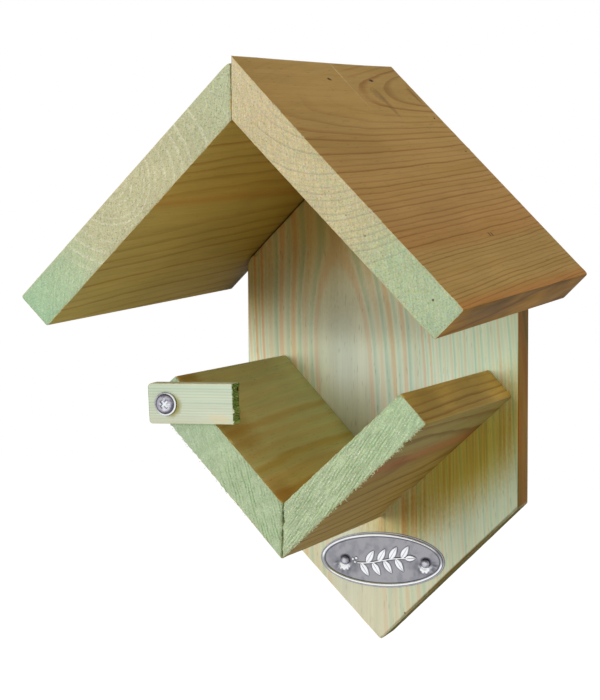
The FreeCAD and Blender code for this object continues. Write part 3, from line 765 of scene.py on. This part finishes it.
left_arm_pine = treated_pine(
    "Left cradle pine", left_arm_axes,
    {"Pith Across": -40.0, "Pith Through": -12.0, "Lean Across": 0.02, "Ring Width": 7.0,
     "Outer Ring Width": 7.0, "Waver": 1.4,
     "Late From": 0.15, "Late Full": 0.6, "Late End": 0.7},
    planed=[(0, (250, 230, 142)), (22, (248, 232, 152)), (40, (242, 234, 164)),
            (60, (234, 230, 166)), (arm_width, (226, 221, 160))],
    late=((240, 206, 158), (236, 220, 174)), early=(228, 242, 218),
    lengthwise=[(0, (255, 250, 236)), (60, (255, 255, 250)), (130, (244, 252, 250))],
    quiet=(44.0, 80.0, 1.0, 0.3), early_share=0.35, late_share=0.9,
    sawn=[(0, (192, 210, 170)), (50, (194, 212, 172)), (arm_width, (190, 210, 180))],
    sawn_late=(208, 220, 198), side=(160, 130, 76), saw_angle=1.08, coarse=0.6, seed=5.0,
    end_tint=0.3, grooves=0.7, smooth_end=(34.0, 62.0, 1.0, 0.2), sparks=0.3, ring_share=0.25,
    shade_line_tone=(236, 220, 196),
    # Painted shade near the front of the inner face, from near the vertex up to the button, with the grain
    # lines drawn more strongly in it
    painted_shades=[((62.0, thickness, 10.0), (24.0, 8.0, 30.0), 0.0, (231, 209, 176), 1.0, 0.3),
            ((92.0, thickness, 6.0), (8.0, 8.0, 18.0), 0.2, (232, 206, 166), 1.0, 0.3),
            ((22.0, thickness, 6.0), (16.0, 8.0, 22.0), 0.0, (238, 222, 210), 1.0, 0.3)])
arm_front = [0.5, 1.5, 3.0, 6.0, 12.0, 24.0, 48.0, 80.0, 110.0]
arm_cuts = (steps(1.0, arm_width - 1.0, 1.0), steps(1.0, 17, 1.0), arm_front)


def in_arm(across, along):
    """Whether a place lies inside the faces of a cradle board, clear of its mitre and its sawn end."""
    return thickness + 3.0 < across < arm_width - 3.0 and along > 3.0


def torn_mitre(across, through, along):
    """The mitre is torn open in places at the front of the cradle, and the sawn end is uneven."""
    uneven = ragged_low = 0.0
    if along < 0.4:
        uneven = 0.22 * noise.noise(Vector((across * 0.55, through * 0.55, 9.0)))
        if through < 0.6:
            ragged_low = (0.9 * abs(noise.noise(Vector((across * 0.6, 3.0, 1.0))))
                          + 0.6 * abs(noise.noise(Vector((across * 1.7, 7.0, 1.0)))))
    from_mitre = across - through
    if from_mitre > 2.5 or along > 20.0:
        return 0.0, ragged_low, uneven
    ragged = noise.noise(Vector((through * 0.45, 4.0, along * 0.3)))
    open_by = max(0.0, 0.45 + 0.9 * ragged) * (1.0 - max(0.0, from_mitre) / 2.5)
    return open_by, 0.0, uneven + 0.5 * open_by


make_board("cradle_plank_right", "cradle_board_right", right_arm_axes, arm_cuts, (0.8, 0.3, 4.0), in_arm,
           torn_mitre, right_arm_pine)
make_board("cradle_plank_left", "cradle_board_left", left_arm_axes, arm_cuts, (0.7, 0.3, 5.0), in_arm,
           torn_mitre, left_arm_pine)


def geometry_tree(name, takes):
    """A geometry tree with named inputs besides its geometry, with nothing in it yet."""
    return node_group(name, "GeometryNodeTree", [("Geometry", "Geometry", None)] + takes,
                      [("Geometry", "Geometry")])


def grow(name, points, edges, tree, values, body):
    """Runs a geometry tree over a few points and keeps the plain mesh that it makes."""
    base = bpy.data.meshes.new(name)
    base.from_pydata(points, edges, [])
    piece = in_scene(name, base)
    modifier = piece.modifiers.new(name, "NODES")
    modifier.node_group = tree
    for item in tree.interface.items_tree:
        if item.in_out == "INPUT" and item.name in values:
            modifier[item.identifier] = values[item.name]
    bpy.context.view_layer.update()
    evaluated = piece.evaluated_get(bpy.context.evaluated_depsgraph_get())
    mesh = bpy.data.meshes.new_from_object(evaluated)
    piece.modifiers.remove(modifier)
    piece.data = mesh
    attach(piece, body)
    return piece


# Fibres strewn along a line: thin tapered hairs with random lengths, leans and gaps
torn_fibres, taken, given = geometry_tree(
    "Torn fibres",
    [("Count", "Int", 60), ("Fibre Length", "Float", 0.0015), ("Fibre Width", "Float", 0.00012),
     ("Scatter", "Float", 0.0004), ("Lean From", "Vector", (0, 0, 0)), ("Lean To", "Vector", (1, 1, 1)),
     ("Share", "Float", 0.7), ("Seed", "Int", 1), ("Material", "Material", None)])
tree = torn_fibres
line = add(tree, "GeometryNodeMeshToCurve", {0: taken["Geometry"]})
spaced = add(tree, "GeometryNodeResampleCurve", {"Curve": line, "Count": taken["Count"]})
spread = add(tree, "ShaderNodeCombineXYZ", {0: taken["Scatter"], 1: taken["Scatter"], 2: taken["Scatter"]})
opposite = add(tree, "ShaderNodeVectorMath", {0: spread, 1: (-1.0, -1.0, -1.0)}, operation="MULTIPLY")
jitter = add(tree, "FunctionNodeRandomValue", {"Min": opposite, "Max": spread, "Seed": taken["Seed"]},
             data_type="FLOAT_VECTOR")
moved = add(tree, "GeometryNodeSetPosition", {"Geometry": spaced, "Offset": jitter})
kept = add(tree, "FunctionNodeRandomValue", {"Probability": taken["Share"], "Seed": taken["Seed"]},
           data_type="BOOLEAN")
hair = add(tree, "GeometryNodeMeshCone", {
    "Vertices": 5, "Radius Top": 0.0, "Radius Bottom": taken["Fibre Width"], "Depth": taken["Fibre Length"]})
turn_seed = add(tree, "ShaderNodeMath", {0: taken["Seed"], 1: 7.0}, operation="ADD")
leant = add(tree, "FunctionNodeRandomValue", {
    "Min": taken["Lean From"], "Max": taken["Lean To"], "Seed": turn_seed}, data_type="FLOAT_VECTOR")
size_seed = add(tree, "ShaderNodeMath", {0: taken["Seed"], 1: 19.0}, operation="ADD")
sized = add(tree, "FunctionNodeRandomValue", {2: 0.25, 3: 1.0, "Seed": size_seed})
placed = add(tree, "GeometryNodeInstanceOnPoints", {
    "Points": moved, "Selection": kept.outputs[3], "Instance": hair, "Rotation": leant,
    "Scale": sized.outputs[1]})
real = add(tree, "GeometryNodeRealizeInstances", {0: placed})
pale = add(tree, "GeometryNodeStoreNamedAttribute", {
    "Geometry": real, "Name": "sawn", "Value": 1.0}, data_type="FLOAT", domain="POINT")
bleached = add(tree, "GeometryNodeStoreNamedAttribute", {
    "Geometry": pale, "Name": "edge", "Value": 1.0}, data_type="FLOAT", domain="POINT")
dressed = add(tree, "GeometryNodeSetMaterial", {"Geometry": bleached, "Material": taken["Material"]})
tree.links.new(dressed.outputs[0], given[0])


def fringe(name, axes, stations, through, count, length, share, seed, material, lean_from, lean_to,
           width=0.2):
    """Torn fibres along the front edge of a cradle board, from station to station across it."""
    points = [axes["origin"] + moved_by(axes, station, through, 0.15) for station in stations]
    edges = [(i, i + 1) for i in range(len(points) - 1)]
    grow(name, points, edges, torn_fibres, {
        "Count": count, "Fibre Length": length * MM, "Fibre Width": width * MM, "Scatter": 0.4 * MM,
        "Lean From": lean_from, "Lean To": lean_to, "Share": share, "Seed": seed, "Material": material},
        "feeder")


fringe("torn_fibres_right", right_arm_axes, [34, 56, 74, 93], 0.1, 120, 2.6, 0.7, 3, right_arm_pine,
       (0.3, 0.2, -3.1), (2.8, 2.6, 3.1))
fringe("torn_curls_right", right_arm_axes, [4, 30, 52, 93], 0.3, 190, 1.1, 0.6, 11, right_arm_pine,
       (-1.2, -1.2, -3.1), (3.1, 3.1, 3.1), 0.5)
fringe("torn_fibres_vertex", right_arm_axes, [1, 12, 30], 0.15, 60, 1.0, 0.6, 5, right_arm_pine,
       (0.6, 0.4, -3.1), (2.4, 1.9, 3.1))
fringe("torn_fibres_left", left_arm_axes, [4, 40, 92], 0.1, 90, 0.8, 0.5, 8, left_arm_pine,
       (0.6, -1.9, -3.1), (2.4, -0.4, 3.1))


# Turn button: a sawn strip of the same pine, planed on its faces, that turns on
# a screw in the left arm and keeps the jar in. Its right end is roughly sawn.

tilt = math.radians(2.1)
pivot = Vector((-0.052926, -0.1482, -0.093492))
button_thickness, button_half_width = 7.4, 9.2
button_axes = board_axes(pivot + Vector((0, -button_thickness * MM, 0)), (-math.sin(tilt), 0, math.cos(tilt)),
                         (0, 1, 0), (math.cos(tilt), 0, math.sin(tilt)))
button_pine = treated_pine(
    "Button pine", button_axes,
    {"Pith Across": 30.0, "Pith Through": 12.0, "Ring Width": 1.15, "Outer Ring Width": 1.15, "Waver": 0.2,
     "Late From": 0.3, "Late Full": 0.7, "Late End": 0.75},
    planed=[(-button_half_width, (216, 220, 192)), (-5, (214, 221, 198)),
            (button_half_width, (208, 222, 199))],
    late=((224, 231, 223), (236, 228, 214)), early=(246, 251, 246), ducts=0.0,
    sawn=[(-button_half_width, (168, 188, 98)), (button_half_width, (160, 186, 96))],
    # The paler tint of the top and bottom faces is painted light, which lifts the shade on the top face
    sawn_late=(110, 160, 96), side=(232, 240, 212), saw_angle=0.2, coarse=2.0, seed=6.0,
    ring_share=0.9, grooves=0.9, sparks=0.5,
    marks=[((-6.6, 0.0, 26.0), (2.4, 3.0, 6.5), (228, 208, 168), 0.45, 1.4),
           # A painted shadow of the screw on the button's face, to its right
           ((-0.8, 0.0, 2.4), (6.4, 3.0, 6.2), (150, 140, 62), 0.85, 0.2)])
button_cuts = (steps(-8.5, 8.5, 0.5), steps(1.0, 6.5, 0.8),
               steps(-8.0, 28.0, 3.0) + [31.0, 32.0, 32.6, 33.0, 33.3])


def rough_button_end(across, through, along):
    """The right end is torn by the saw into an uneven edge."""
    if along < 33.1:
        return 0.0, 0.0, 0.0
    wave = (noise.noise(Vector((across * 0.42, through * 0.3, 5.0)))
            + 0.5 * noise.noise(Vector((across * 1.3, through * 0.9, 8.0))))
    return 0.0, 0.0, -0.4 - 1.1 * wave


def in_button(across, along):
    """Whether a place lies inside the button's faces, where its hole is."""
    return abs(across) < 7.0 and along < 30.0


button = make_board("button_strip", "turn_button", button_axes, button_cuts, (0.5, 0.12, 6.0), in_button,
                    rough_button_end, button_pine)
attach(button, "button")


# Button screw: a bright zinc pan-head with a collar, its dome pressed with a
# cross recess and four short ticks between the arms of the cross. Its shade and glints are painted on.

def polar_piece(name, rings_of_points, attributes, material, node=None):
    """A closed skin over rings of as many points each, the first and the last ring shrunk to one point."""
    count = len(rings_of_points[0])
    points = [tuple(point) for ring in rings_of_points for point in ring]
    faces = []
    for r in range(len(rings_of_points) - 1):
        for i in range(count):
            j = (i + 1) % count
            faces.append((r * count + i, r * count + j, (r + 1) * count + j, (r + 1) * count + i))
    mesh = bpy.data.meshes.new(name)
    mesh.from_pydata(points, [], faces)
    for label, values in attributes.items():
        flat = [float(value) for ring in values for value in ring]
        mesh.attributes.new(label, "FLOAT", "POINT").data.foreach_set("value", flat)
    shape = bmesh.new()
    shape.from_mesh(mesh)
    bmesh.ops.remove_doubles(shape, verts=shape.verts, dist=1e-6)
    bmesh.ops.recalc_face_normals(shape, faces=shape.faces)
    shape.to_mesh(mesh)
    shape.free()
    mesh.materials.append(material)
    rounded(mesh, 40.0)
    piece = in_scene(name, mesh)
    if node:
        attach(piece, "feeder")
        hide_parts(node)
    return piece


def smooth(value, low, high):
    share = np.clip((value - low) / (high - low), 0.0, 1.0)
    return share * share * (3.0 - 2.0 * share)


seat_gap = 0.2
screw_seat = pivot + Vector((0, -(button_thickness + seat_gap) * MM, 0))
around = np.linspace(0.0, 2.0 * math.pi, 96, endpoint=False)


def screw_ring(radius, height, sink=0.0):
    """A ring of points round the screw's axis, at a height above its seat towards the front."""
    return [(screw_seat.x + math.cos(a) * radius * MM, screw_seat.y - (height - s) * MM,
             screw_seat.z + math.sin(a) * radius * MM)
            for a, s in zip(around, np.broadcast_to(sink, around.shape))]


def cross_and_ticks(radius):
    """How strongly the cross recess and the short ticks between its arms show at a radius, all round."""
    x, z = np.cos(around) * radius, np.sin(around) * radius
    u, v = (x + z) * slope, (z - x) * slope
    arms = np.minimum(np.abs(u), np.abs(v))
    reach = np.maximum(np.abs(u), np.abs(v))
    cross = (1.0 - smooth(arms, 0.4, 0.72)) * (1.0 - smooth(reach, 1.8, 2.5))
    tick = 1.0 - smooth(np.minimum(np.abs(x), np.abs(z)), 0.12, 0.3)
    tick = tick * smooth(radius, 1.1, 1.5) * (1.0 - smooth(radius, 2.6, 3.0))
    return cross, tick * (1.0 - cross)


screw_rings, screw_grime_and_shade, screw_polish_and_glint = [], [], []
dome_radius, dome_foot, dome_rise = 4.3, 1.05, 1.25
# The shank and the collar as radius and height in mm, then how much grime and painted shade and how much
# polish and painted highlight each ring has
outer = [(0.0, -31.0, 0.0, 0.0), (2.4, -27.0, 0.0, 0.0), (2.4, -0.01, 0.0, 0.0), (5.1, 0.0, 0.8, 0.0),
         (5.35, 0.12, 0.6, 0.1), (5.4, 0.4, 0.1, 0.6), (5.3, 0.75, 0.0, 1.0), (5.05, 0.95, 0.0, 1.0),
         (4.75, 0.98, 0.1, 0.9), (4.55, 0.88, 0.5, 0.1), (4.42, 0.8, 0.85, 0.0), (4.3, 0.85, 0.75, 0.0),
         (4.22, 1.0, 0.4, 0.0)]
# Painted shade on the upper left of the collar, with less painted highlight there
upper_left = smooth(np.cos(around - math.radians(150.0)), -0.2, 0.9)
for radius, height, grime_and_shade, polish_and_glint in outer:
    screw_rings.append(screw_ring(radius, height))
    screw_grime_and_shade.append(np.clip(grime_and_shade + 0.3 * upper_left * (radius > 4.6), 0.0, 1.0))
    screw_polish_and_glint.append(polish_and_glint * (1.0 - 0.6 * upper_left))
for radius in np.linspace(4.1, 0.0, 42):
    cross, tick = cross_and_ticks(radius)
    height = dome_foot + dome_rise * (1.0 - (radius / dome_radius) ** 2) ** 0.8
    screw_rings.append(screw_ring(radius, height, 0.8 * cross + 0.25 * tick))
    # Painted light and shade on the dome: glints at its centre, on the ticks and towards the lower right, the
    # floor of the cross painted bright, and shade along the edges of the cross and round the edge of the
    # dome, deepest at the lower right
    lower_right = smooth(np.cos(around + math.radians(50.0)), 0.0, 0.9)
    glint = 1.1 * (1.0 - smooth(radius, 0.5, 1.3)) + 0.9 * tick + 0.55 * lower_right * (1.0 - cross)
    rim_shade = (0.35 + 0.4 * lower_right) * smooth(radius, 3.1, 3.9)
    edges = 4.0 * cross * (1.0 - cross) * smooth(radius, 0.4, 1.0)
    screw_grime_and_shade.append(np.clip(0.6 * edges * (1.0 - 0.4 * lower_right) + rim_shade, 0.0, 1.0))
    screw_polish_and_glint.append(np.clip(glint * (1.0 - smooth(radius, 2.6, 3.3)) + cross, 0.0, 1.0))
polar_piece("pivot_screw", screw_rings, {"grime_and_shade": screw_grime_and_shade, "polish_and_glint": screw_polish_and_glint}, zinc_plate,
            "button_screw")


# Oval plate: pressed aluminium with a flat flange, a bright raised bead, a dull mottled
# field with a dimple round each nail, and a raised sprig of leaves for decoration. Its
# shade, highlights and reflections are painted on.

plate_turn = math.radians(1.8)
plate_centre = Vector((0.0010, -thickness * MM, -0.1893))
plate_half_length, plate_half_height = 33.5, 14.3
field_inset, field_height, dimple_depth = 2.6, 0.78, 0.4
nail_spots = [(-20.15, -0.9), (23.35, -0.9)]


def plate_point(x, z, height):
    """A point of the plate from its own frame, in mm, to the part's."""
    return (plate_centre.x + (x * math.cos(plate_turn) - z * math.sin(plate_turn)) * MM,
            plate_centre.y - height * MM,
            plate_centre.z + (x * math.sin(plate_turn) + z * math.cos(plate_turn)) * MM)


def leaf_height(x, z, foot, angle, length, width):
    """One raised leaf with a sunk vein, from its foot at an angle: its height share at each point."""
    along = ((x - foot[0]) * math.cos(angle) + (z - foot[1]) * math.sin(angle)) / length
    off = np.abs(-(x - foot[0]) * math.sin(angle) + (z - foot[1]) * math.cos(angle))
    inside = np.clip(along, 0.0, 1.0)
    half = width * np.sin(math.pi * inside ** 0.8) ** 0.8 / 2.0
    body = smooth(half - off, -0.12, 0.35) * (along > 0.0) * (along < 1.0)
    return body * (1.0 - 0.45 * (1.0 - smooth(off, 0.05, 0.25)) * (inside < 0.9))


def sprig_stem(x):
    return 1.6 * np.sin(x / 7.2) - 0.4


def sprig(x, z):
    """Height share of the raised sprig: a waved stem with a leaf at each turn and three berries."""
    stem = 1.0 - smooth(np.abs(z - sprig_stem(x)), 0.15, 0.5)
    height = stem * (np.abs(x) < 13.5)
    for turn, foot_x in enumerate(np.linspace(-11.5, 10.5, 8)):
        side = 1 if turn % 2 else -1
        foot = (foot_x, float(sprig_stem(foot_x)))
        height = np.maximum(height, leaf_height(x, z, foot, side * math.radians(58.0), 7.8, 3.5))
    height = np.maximum(height, leaf_height(x, z, (12.6, float(sprig_stem(12.6))), 0.1, 6.0, 3.2))
    for berry_x, berry_z in ((-14.6, -1.6), (-13.9, 0.4), (-15.8, -0.1)):
        height = np.maximum(height, 1.0 - smooth(np.hypot(x - berry_x, z - berry_z), 0.5, 0.9))
    return height


plate_around = np.linspace(0.0, 2.0 * math.pi, 360, endpoint=False)


def plate_oval(inset, share=1.0):
    """The places all round an oval that lies inside the plate's outline."""
    return (np.cos(plate_around) * (plate_half_length - inset) * share,
            np.sin(plate_around) * (plate_half_height - inset) * share)


def round_a_nail(x, z, nail_x, nail_z, height, darkening, bright):
    """Sinks the dimple round a nail, paints shade above its head and darker patches below it, and paints rays
    of reflection, a reflection in the dimple and a glint below it.
    """
    right, up = x - nail_x, z - nail_z
    away = np.hypot(right, up)
    height = height - dimple_depth * (1.0 - smooth(away, 2.2, 4.2))
    # Painted shade in the dimple above the head
    darkening = np.maximum(darkening, 0.7 * (1.0 - smooth(away, 2.5, 3.8)) * smooth(up, -0.6, 2.4))
    # Darker patches on the field below the nail
    patchy = 0.75 + 0.25 * np.sin(1.3 * x + 0.6 * z) * np.cos(1.1 * z - 0.5 * x)
    darkening = np.maximum(darkening, 0.62 * patchy * (1.0 - smooth(away, 4.0, 10.0)) * smooth(-up, -3.0, 1.5))
    # Painted reflections: rays fanning outward below the nail, and a bright patch on the lower wall of the
    # dimple
    turned = np.arctan2(up, right)
    rays = smooth(np.cos(13.0 * turned + 2.0 * np.sin(3.0 * turned)), 0.5, 1.0)
    outward = smooth(right * np.sign(nail_x), -3.0, 2.0) * smooth(-up, -2.2, 0.4)
    rays = 0.45 * rays * outward * smooth(away, 3.0, 4.5) * (1.0 - smooth(away, 4.5, 8.0))
    bright = np.maximum(bright, rays)
    bright = np.maximum(bright, smooth(-up, 0.4, 2.2) * (1.0 - smooth(away, 3.5, 4.6)))
    # A painted glint just below the nail, which clears the darkening there
    glint = np.hypot((right + 0.4) / 1.25, up + 3.0) + 0.5 * np.sin(3.1 * x) * np.cos(2.3 * z)
    glint = 1.0 - smooth(glint, 1.4, 2.6)
    return height, darkening * (1.0 - glint), np.maximum(bright, 1.2 * glint)


# The flange and the bead as inset and height in mm, then how much grime and painted shade and how much polish
# and painted highlight each ring has
rim_profile = [(0.0, 0.0, 0.6, 0.0), (0.0, 0.4, 0.4, 0.0), (0.12, 0.55, 0.15, 0.2), (0.6, 0.6, 0.15, 0.2),
               (0.78, 0.62, 0.65, 0.0), (0.9, 0.9, 0.2, 0.6), (1.05, 1.35, 0.0, 1.0), (1.4, 1.5, 0.0, 1.0),
               (1.7, 1.5, 0.0, 1.0), (1.95, 1.3, 0.0, 0.9), (2.15, 0.95, 0.3, 0.3), (2.35, 0.8, 0.8, 0.0),
               (field_inset, field_height, 0.5, 0.0)]
plate_rings = [[plate_point(0.0, 0.0, 0.0)] * len(plate_around)]
plate_grime_and_shade, plate_polish_and_glint = [np.zeros_like(plate_around)], [np.zeros_like(plate_around)]
# The bead is duller and darker towards the two ends of the oval
duller_at_ends = smooth(np.abs(np.cos(plate_around - 0.2)), 0.93, 1.0)
for inset, height, grime_and_shade, polish_and_glint in rim_profile:
    plate_rings.append([plate_point(x, z, height) for x, z in zip(*plate_oval(inset))])
    plate_grime_and_shade.append(np.clip(grime_and_shade + 0.25 * polish_and_glint * duller_at_ends, 0.0, 1.0))
    plate_polish_and_glint.append(polish_and_glint * (1.0 - 0.7 * duller_at_ends))
for share in np.linspace(0.985, 0.0, 100):
    x, z = plate_oval(field_inset, share)
    raised = sprig(x, z)
    near_sprig = np.maximum.reduce([sprig(x + right, z + up) for right, up in
                                    ((0.45, 0), (-0.45, 0), (0, 0.45), (0, -0.45))])
    height, bright = field_height + 0.4 * raised, 1.1 * raised
    # Painted shade round the foot of the raised sprig
    darkening = 0.7 * np.clip(near_sprig - raised, 0.0, 1.0)
    for nail_x, nail_z in nail_spots:
        height, darkening, bright = round_a_nail(x, z, nail_x, nail_z, height, darkening, bright)
    plate_rings.append([plate_point(*spot) for spot in zip(x, z, height)])
    plate_grime_and_shade.append(np.clip(darkening, 0.0, 1.0))
    plate_polish_and_glint.append(np.clip(bright, 0.0, 1.0))
plate_metal = metal("Pressed aluminium", (164, 163, 168), (152, 152, 160), 0.32,
                    (58, 64, 80), (248, 250, 254), grain=(300.0, 300.0, 240.0), streaks=0.03)
polar_piece("badge_plate", plate_rings, {"grime_and_shade": plate_grime_and_shade, "polish_and_glint": plate_polish_and_glint}, plate_metal,
            "oval_plate")


# Plate nails: two domed zinc-plated nails, alike, driven through the dimples of
# the plate into the back board. One pattern is turned and set out in a row of two. Their
# shade and highlights are painted on.

nail_seat = 0.4
nail_around = around[::2]
nail_rings, nail_grime_and_shade, nail_polish_and_glint = [], [], []
# Radius and depth in mm, then how much grime and painted shade and how much polish and painted highlight each
# ring has
nail_profile = [
    (0.0, 13.6, 0.0, 0.0), (0.9, 11.8, 0.0, 0.0), (0.9, 0.0, 0.0, 0.0), (2.3, 0.0, 1.0, 0.0),
    (2.42, -0.15, 0.9, 0.0), (2.38, -0.4, 0.6, 0.0), (2.2, -0.8, 0.3, 0.0), (1.9, -1.15, 0.25, 0.0),
    (1.5, -1.4, 0.2, 0.1), (1.0, -1.55, 0.15, 0.3), (0.5, -1.6, 0.1, 0.5), (0.0, -1.62, 0.1, 0.5)]
for radius, depth, grime_and_shade, polish_and_glint in nail_profile:
    nail_rings.append([(math.cos(a) * radius * MM, depth * MM, math.sin(a) * radius * MM)
                       for a in nail_around])
    shade = 0.4 * smooth(np.sin(nail_around), 0.1, 0.9) * (radius > 1.2) * (depth < 0.0)
    nail_grime_and_shade.append(np.clip(grime_and_shade + shade, 0.0, 1.0))
    nail_polish_and_glint.append(np.full(nail_around.shape, polish_and_glint))
nail_pattern = polar_piece("nail_pattern", nail_rings, {"grime_and_shade": nail_grime_and_shade, "polish_and_glint": nail_polish_and_glint},
                           zinc_plate)
nail_row, taken, given = geometry_tree(
    "Nail row", [("Count", "Int", 2), ("Spacing", "Vector", (0.0435, 0, 0)), ("Nail", "Object", None),
                 ("Material", "Material", None)])
tree = nail_row
row_points = add(tree, "GeometryNodeMeshLine", {"Count": taken["Count"], "Offset": taken["Spacing"]})
from_first = add(tree, "GeometryNodeInputPosition")
start = add(tree, "GeometryNodeSampleIndex", {
    "Geometry": taken["Geometry"], "Value": from_first, "Index": 0},
    data_type="FLOAT_VECTOR", domain="POINT")
shifted = add(tree, "GeometryNodeSetPosition", {"Geometry": row_points, "Offset": start})
pattern = add(tree, "GeometryNodeObjectInfo", {"Object": taken["Nail"]})
nails = add(tree, "GeometryNodeInstanceOnPoints", {
    "Points": shifted, "Instance": pattern.outputs["Geometry"]})
real = add(tree, "GeometryNodeRealizeInstances", {0: nails})
dressed = add(tree, "GeometryNodeSetMaterial", {"Geometry": real, "Material": taken["Material"]})
tree.links.new(dressed.outputs[0], given[0])
first_nail, second_nail = (Vector(plate_point(x, z, nail_seat)) for x, z in nail_spots)
nails_piece = grow("domed_nails", [first_nail], [], nail_row, {
    "Count": 2, "Spacing": second_nail - first_nail, "Nail": nail_pattern, "Material": zinc_plate},
    "feeder")
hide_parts("plate_nails")
bpy.data.objects.remove(nail_pattern)


# The setting: camera where the photograph was taken from, a pale floor well below the
# hanging feeder, a plain white world and one soft light from the front left.

# The camera's angles, place and focal length as fitted to the corners of the boards
yaw, pitch, roll = (math.radians(angle) for angle in (21.88, 6.45, -0.39))
ahead = Vector((-math.sin(yaw) * math.cos(pitch), math.cos(yaw) * math.cos(pitch), -math.sin(pitch)))
level_right = Vector((math.cos(yaw), math.sin(yaw), 0.0))
level_up = level_right.cross(ahead)
camera_right = level_right * math.cos(roll) + level_up * math.sin(roll)
camera_up = level_up * math.cos(roll) - level_right * math.sin(roll)
photo_width, photo_height, focal_pixels = 600.0, 700.0, 2122.6
sight_across, sight_down = 315.7, 348.6
camera_place = Vector((0.3659, -1.0158, 0.0391))
camera_data = bpy.data.cameras.new("camera")
camera_data.sensor_width = 36.0
camera_data.lens = focal_pixels * camera_data.sensor_width / photo_height
camera_data.shift_x = (photo_width / 2.0 - sight_across) / photo_height
camera_data.shift_y = (sight_down - photo_height / 2.0) / photo_height
camera_data.clip_end = 30.0
camera = in_scene("camera", camera_data)
turned = Matrix((camera_right, camera_up, -ahead)).transposed().to_4x4()
camera.matrix_world = Matrix.Translation(camera_place) @ turned
bpy.context.scene.camera = camera


def seen_as_white(tree):
    """1 for camera, glossy and transmission rays, which see the pale surroundings, and 0 for the light."""
    path = put(tree, "LightPath").outputs
    mirrored = calc(tree, "MAXIMUM", path["Is Glossy Ray"], path["Is Transmission Ray"])
    return calc(tree, "MAXIMUM", path["Is Camera Ray"], mirrored)


floor_reach, floor_level = 2.4, -0.6
floor_mesh = bpy.data.meshes.new("floor")
floor_mesh.from_pydata([(x * floor_reach, y * floor_reach, floor_level)
                        for x, y in ((-1, -1), (1, -1), (1, 1), (-1, 1))], [], [(0, 1, 2, 3)])
floor = in_scene("floor", floor_mesh)
pale_floor, tree = blank_material("Pale floor")
matt = put(tree, "BsdfDiffuse", {"Color": (0.8, 0.8, 0.8, 1.0)})
glow = put(tree, "Emission", {"Color": (1, 1, 1, 1), "Strength": times(tree, seen_as_white(tree), 0.6)})
show(tree, put(tree, "AddShader", {0: matt, 1: glow}))
floor_mesh.materials.append(pale_floor)

fill = 0.5
world = bpy.data.worlds.new("studio")
bpy.context.scene.world = world
world.use_nodes = True
tree = world.node_tree
tree.nodes.clear()
strength = times_plus(tree, seen_as_white(tree), 1.0 - fill, fill)
sky = put(tree, "Background", {"Color": (1, 1, 1, 1), "Strength": strength})
tree.links.new(sky.outputs[0], put(tree, "OutputWorld").inputs[0])

key_data = bpy.data.lights.new("key", "SUN")
key_data.energy = 1.65
key_data.angle = math.radians(20.0)
key = in_scene("key", key_data)
key.rotation_euler = Vector((0.25, 1.0, -0.13)).to_track_quat("-Z", "Y").to_euler()
key.visible_glossy = False

bpy.context.scene.view_settings.view_transform = "Standard"
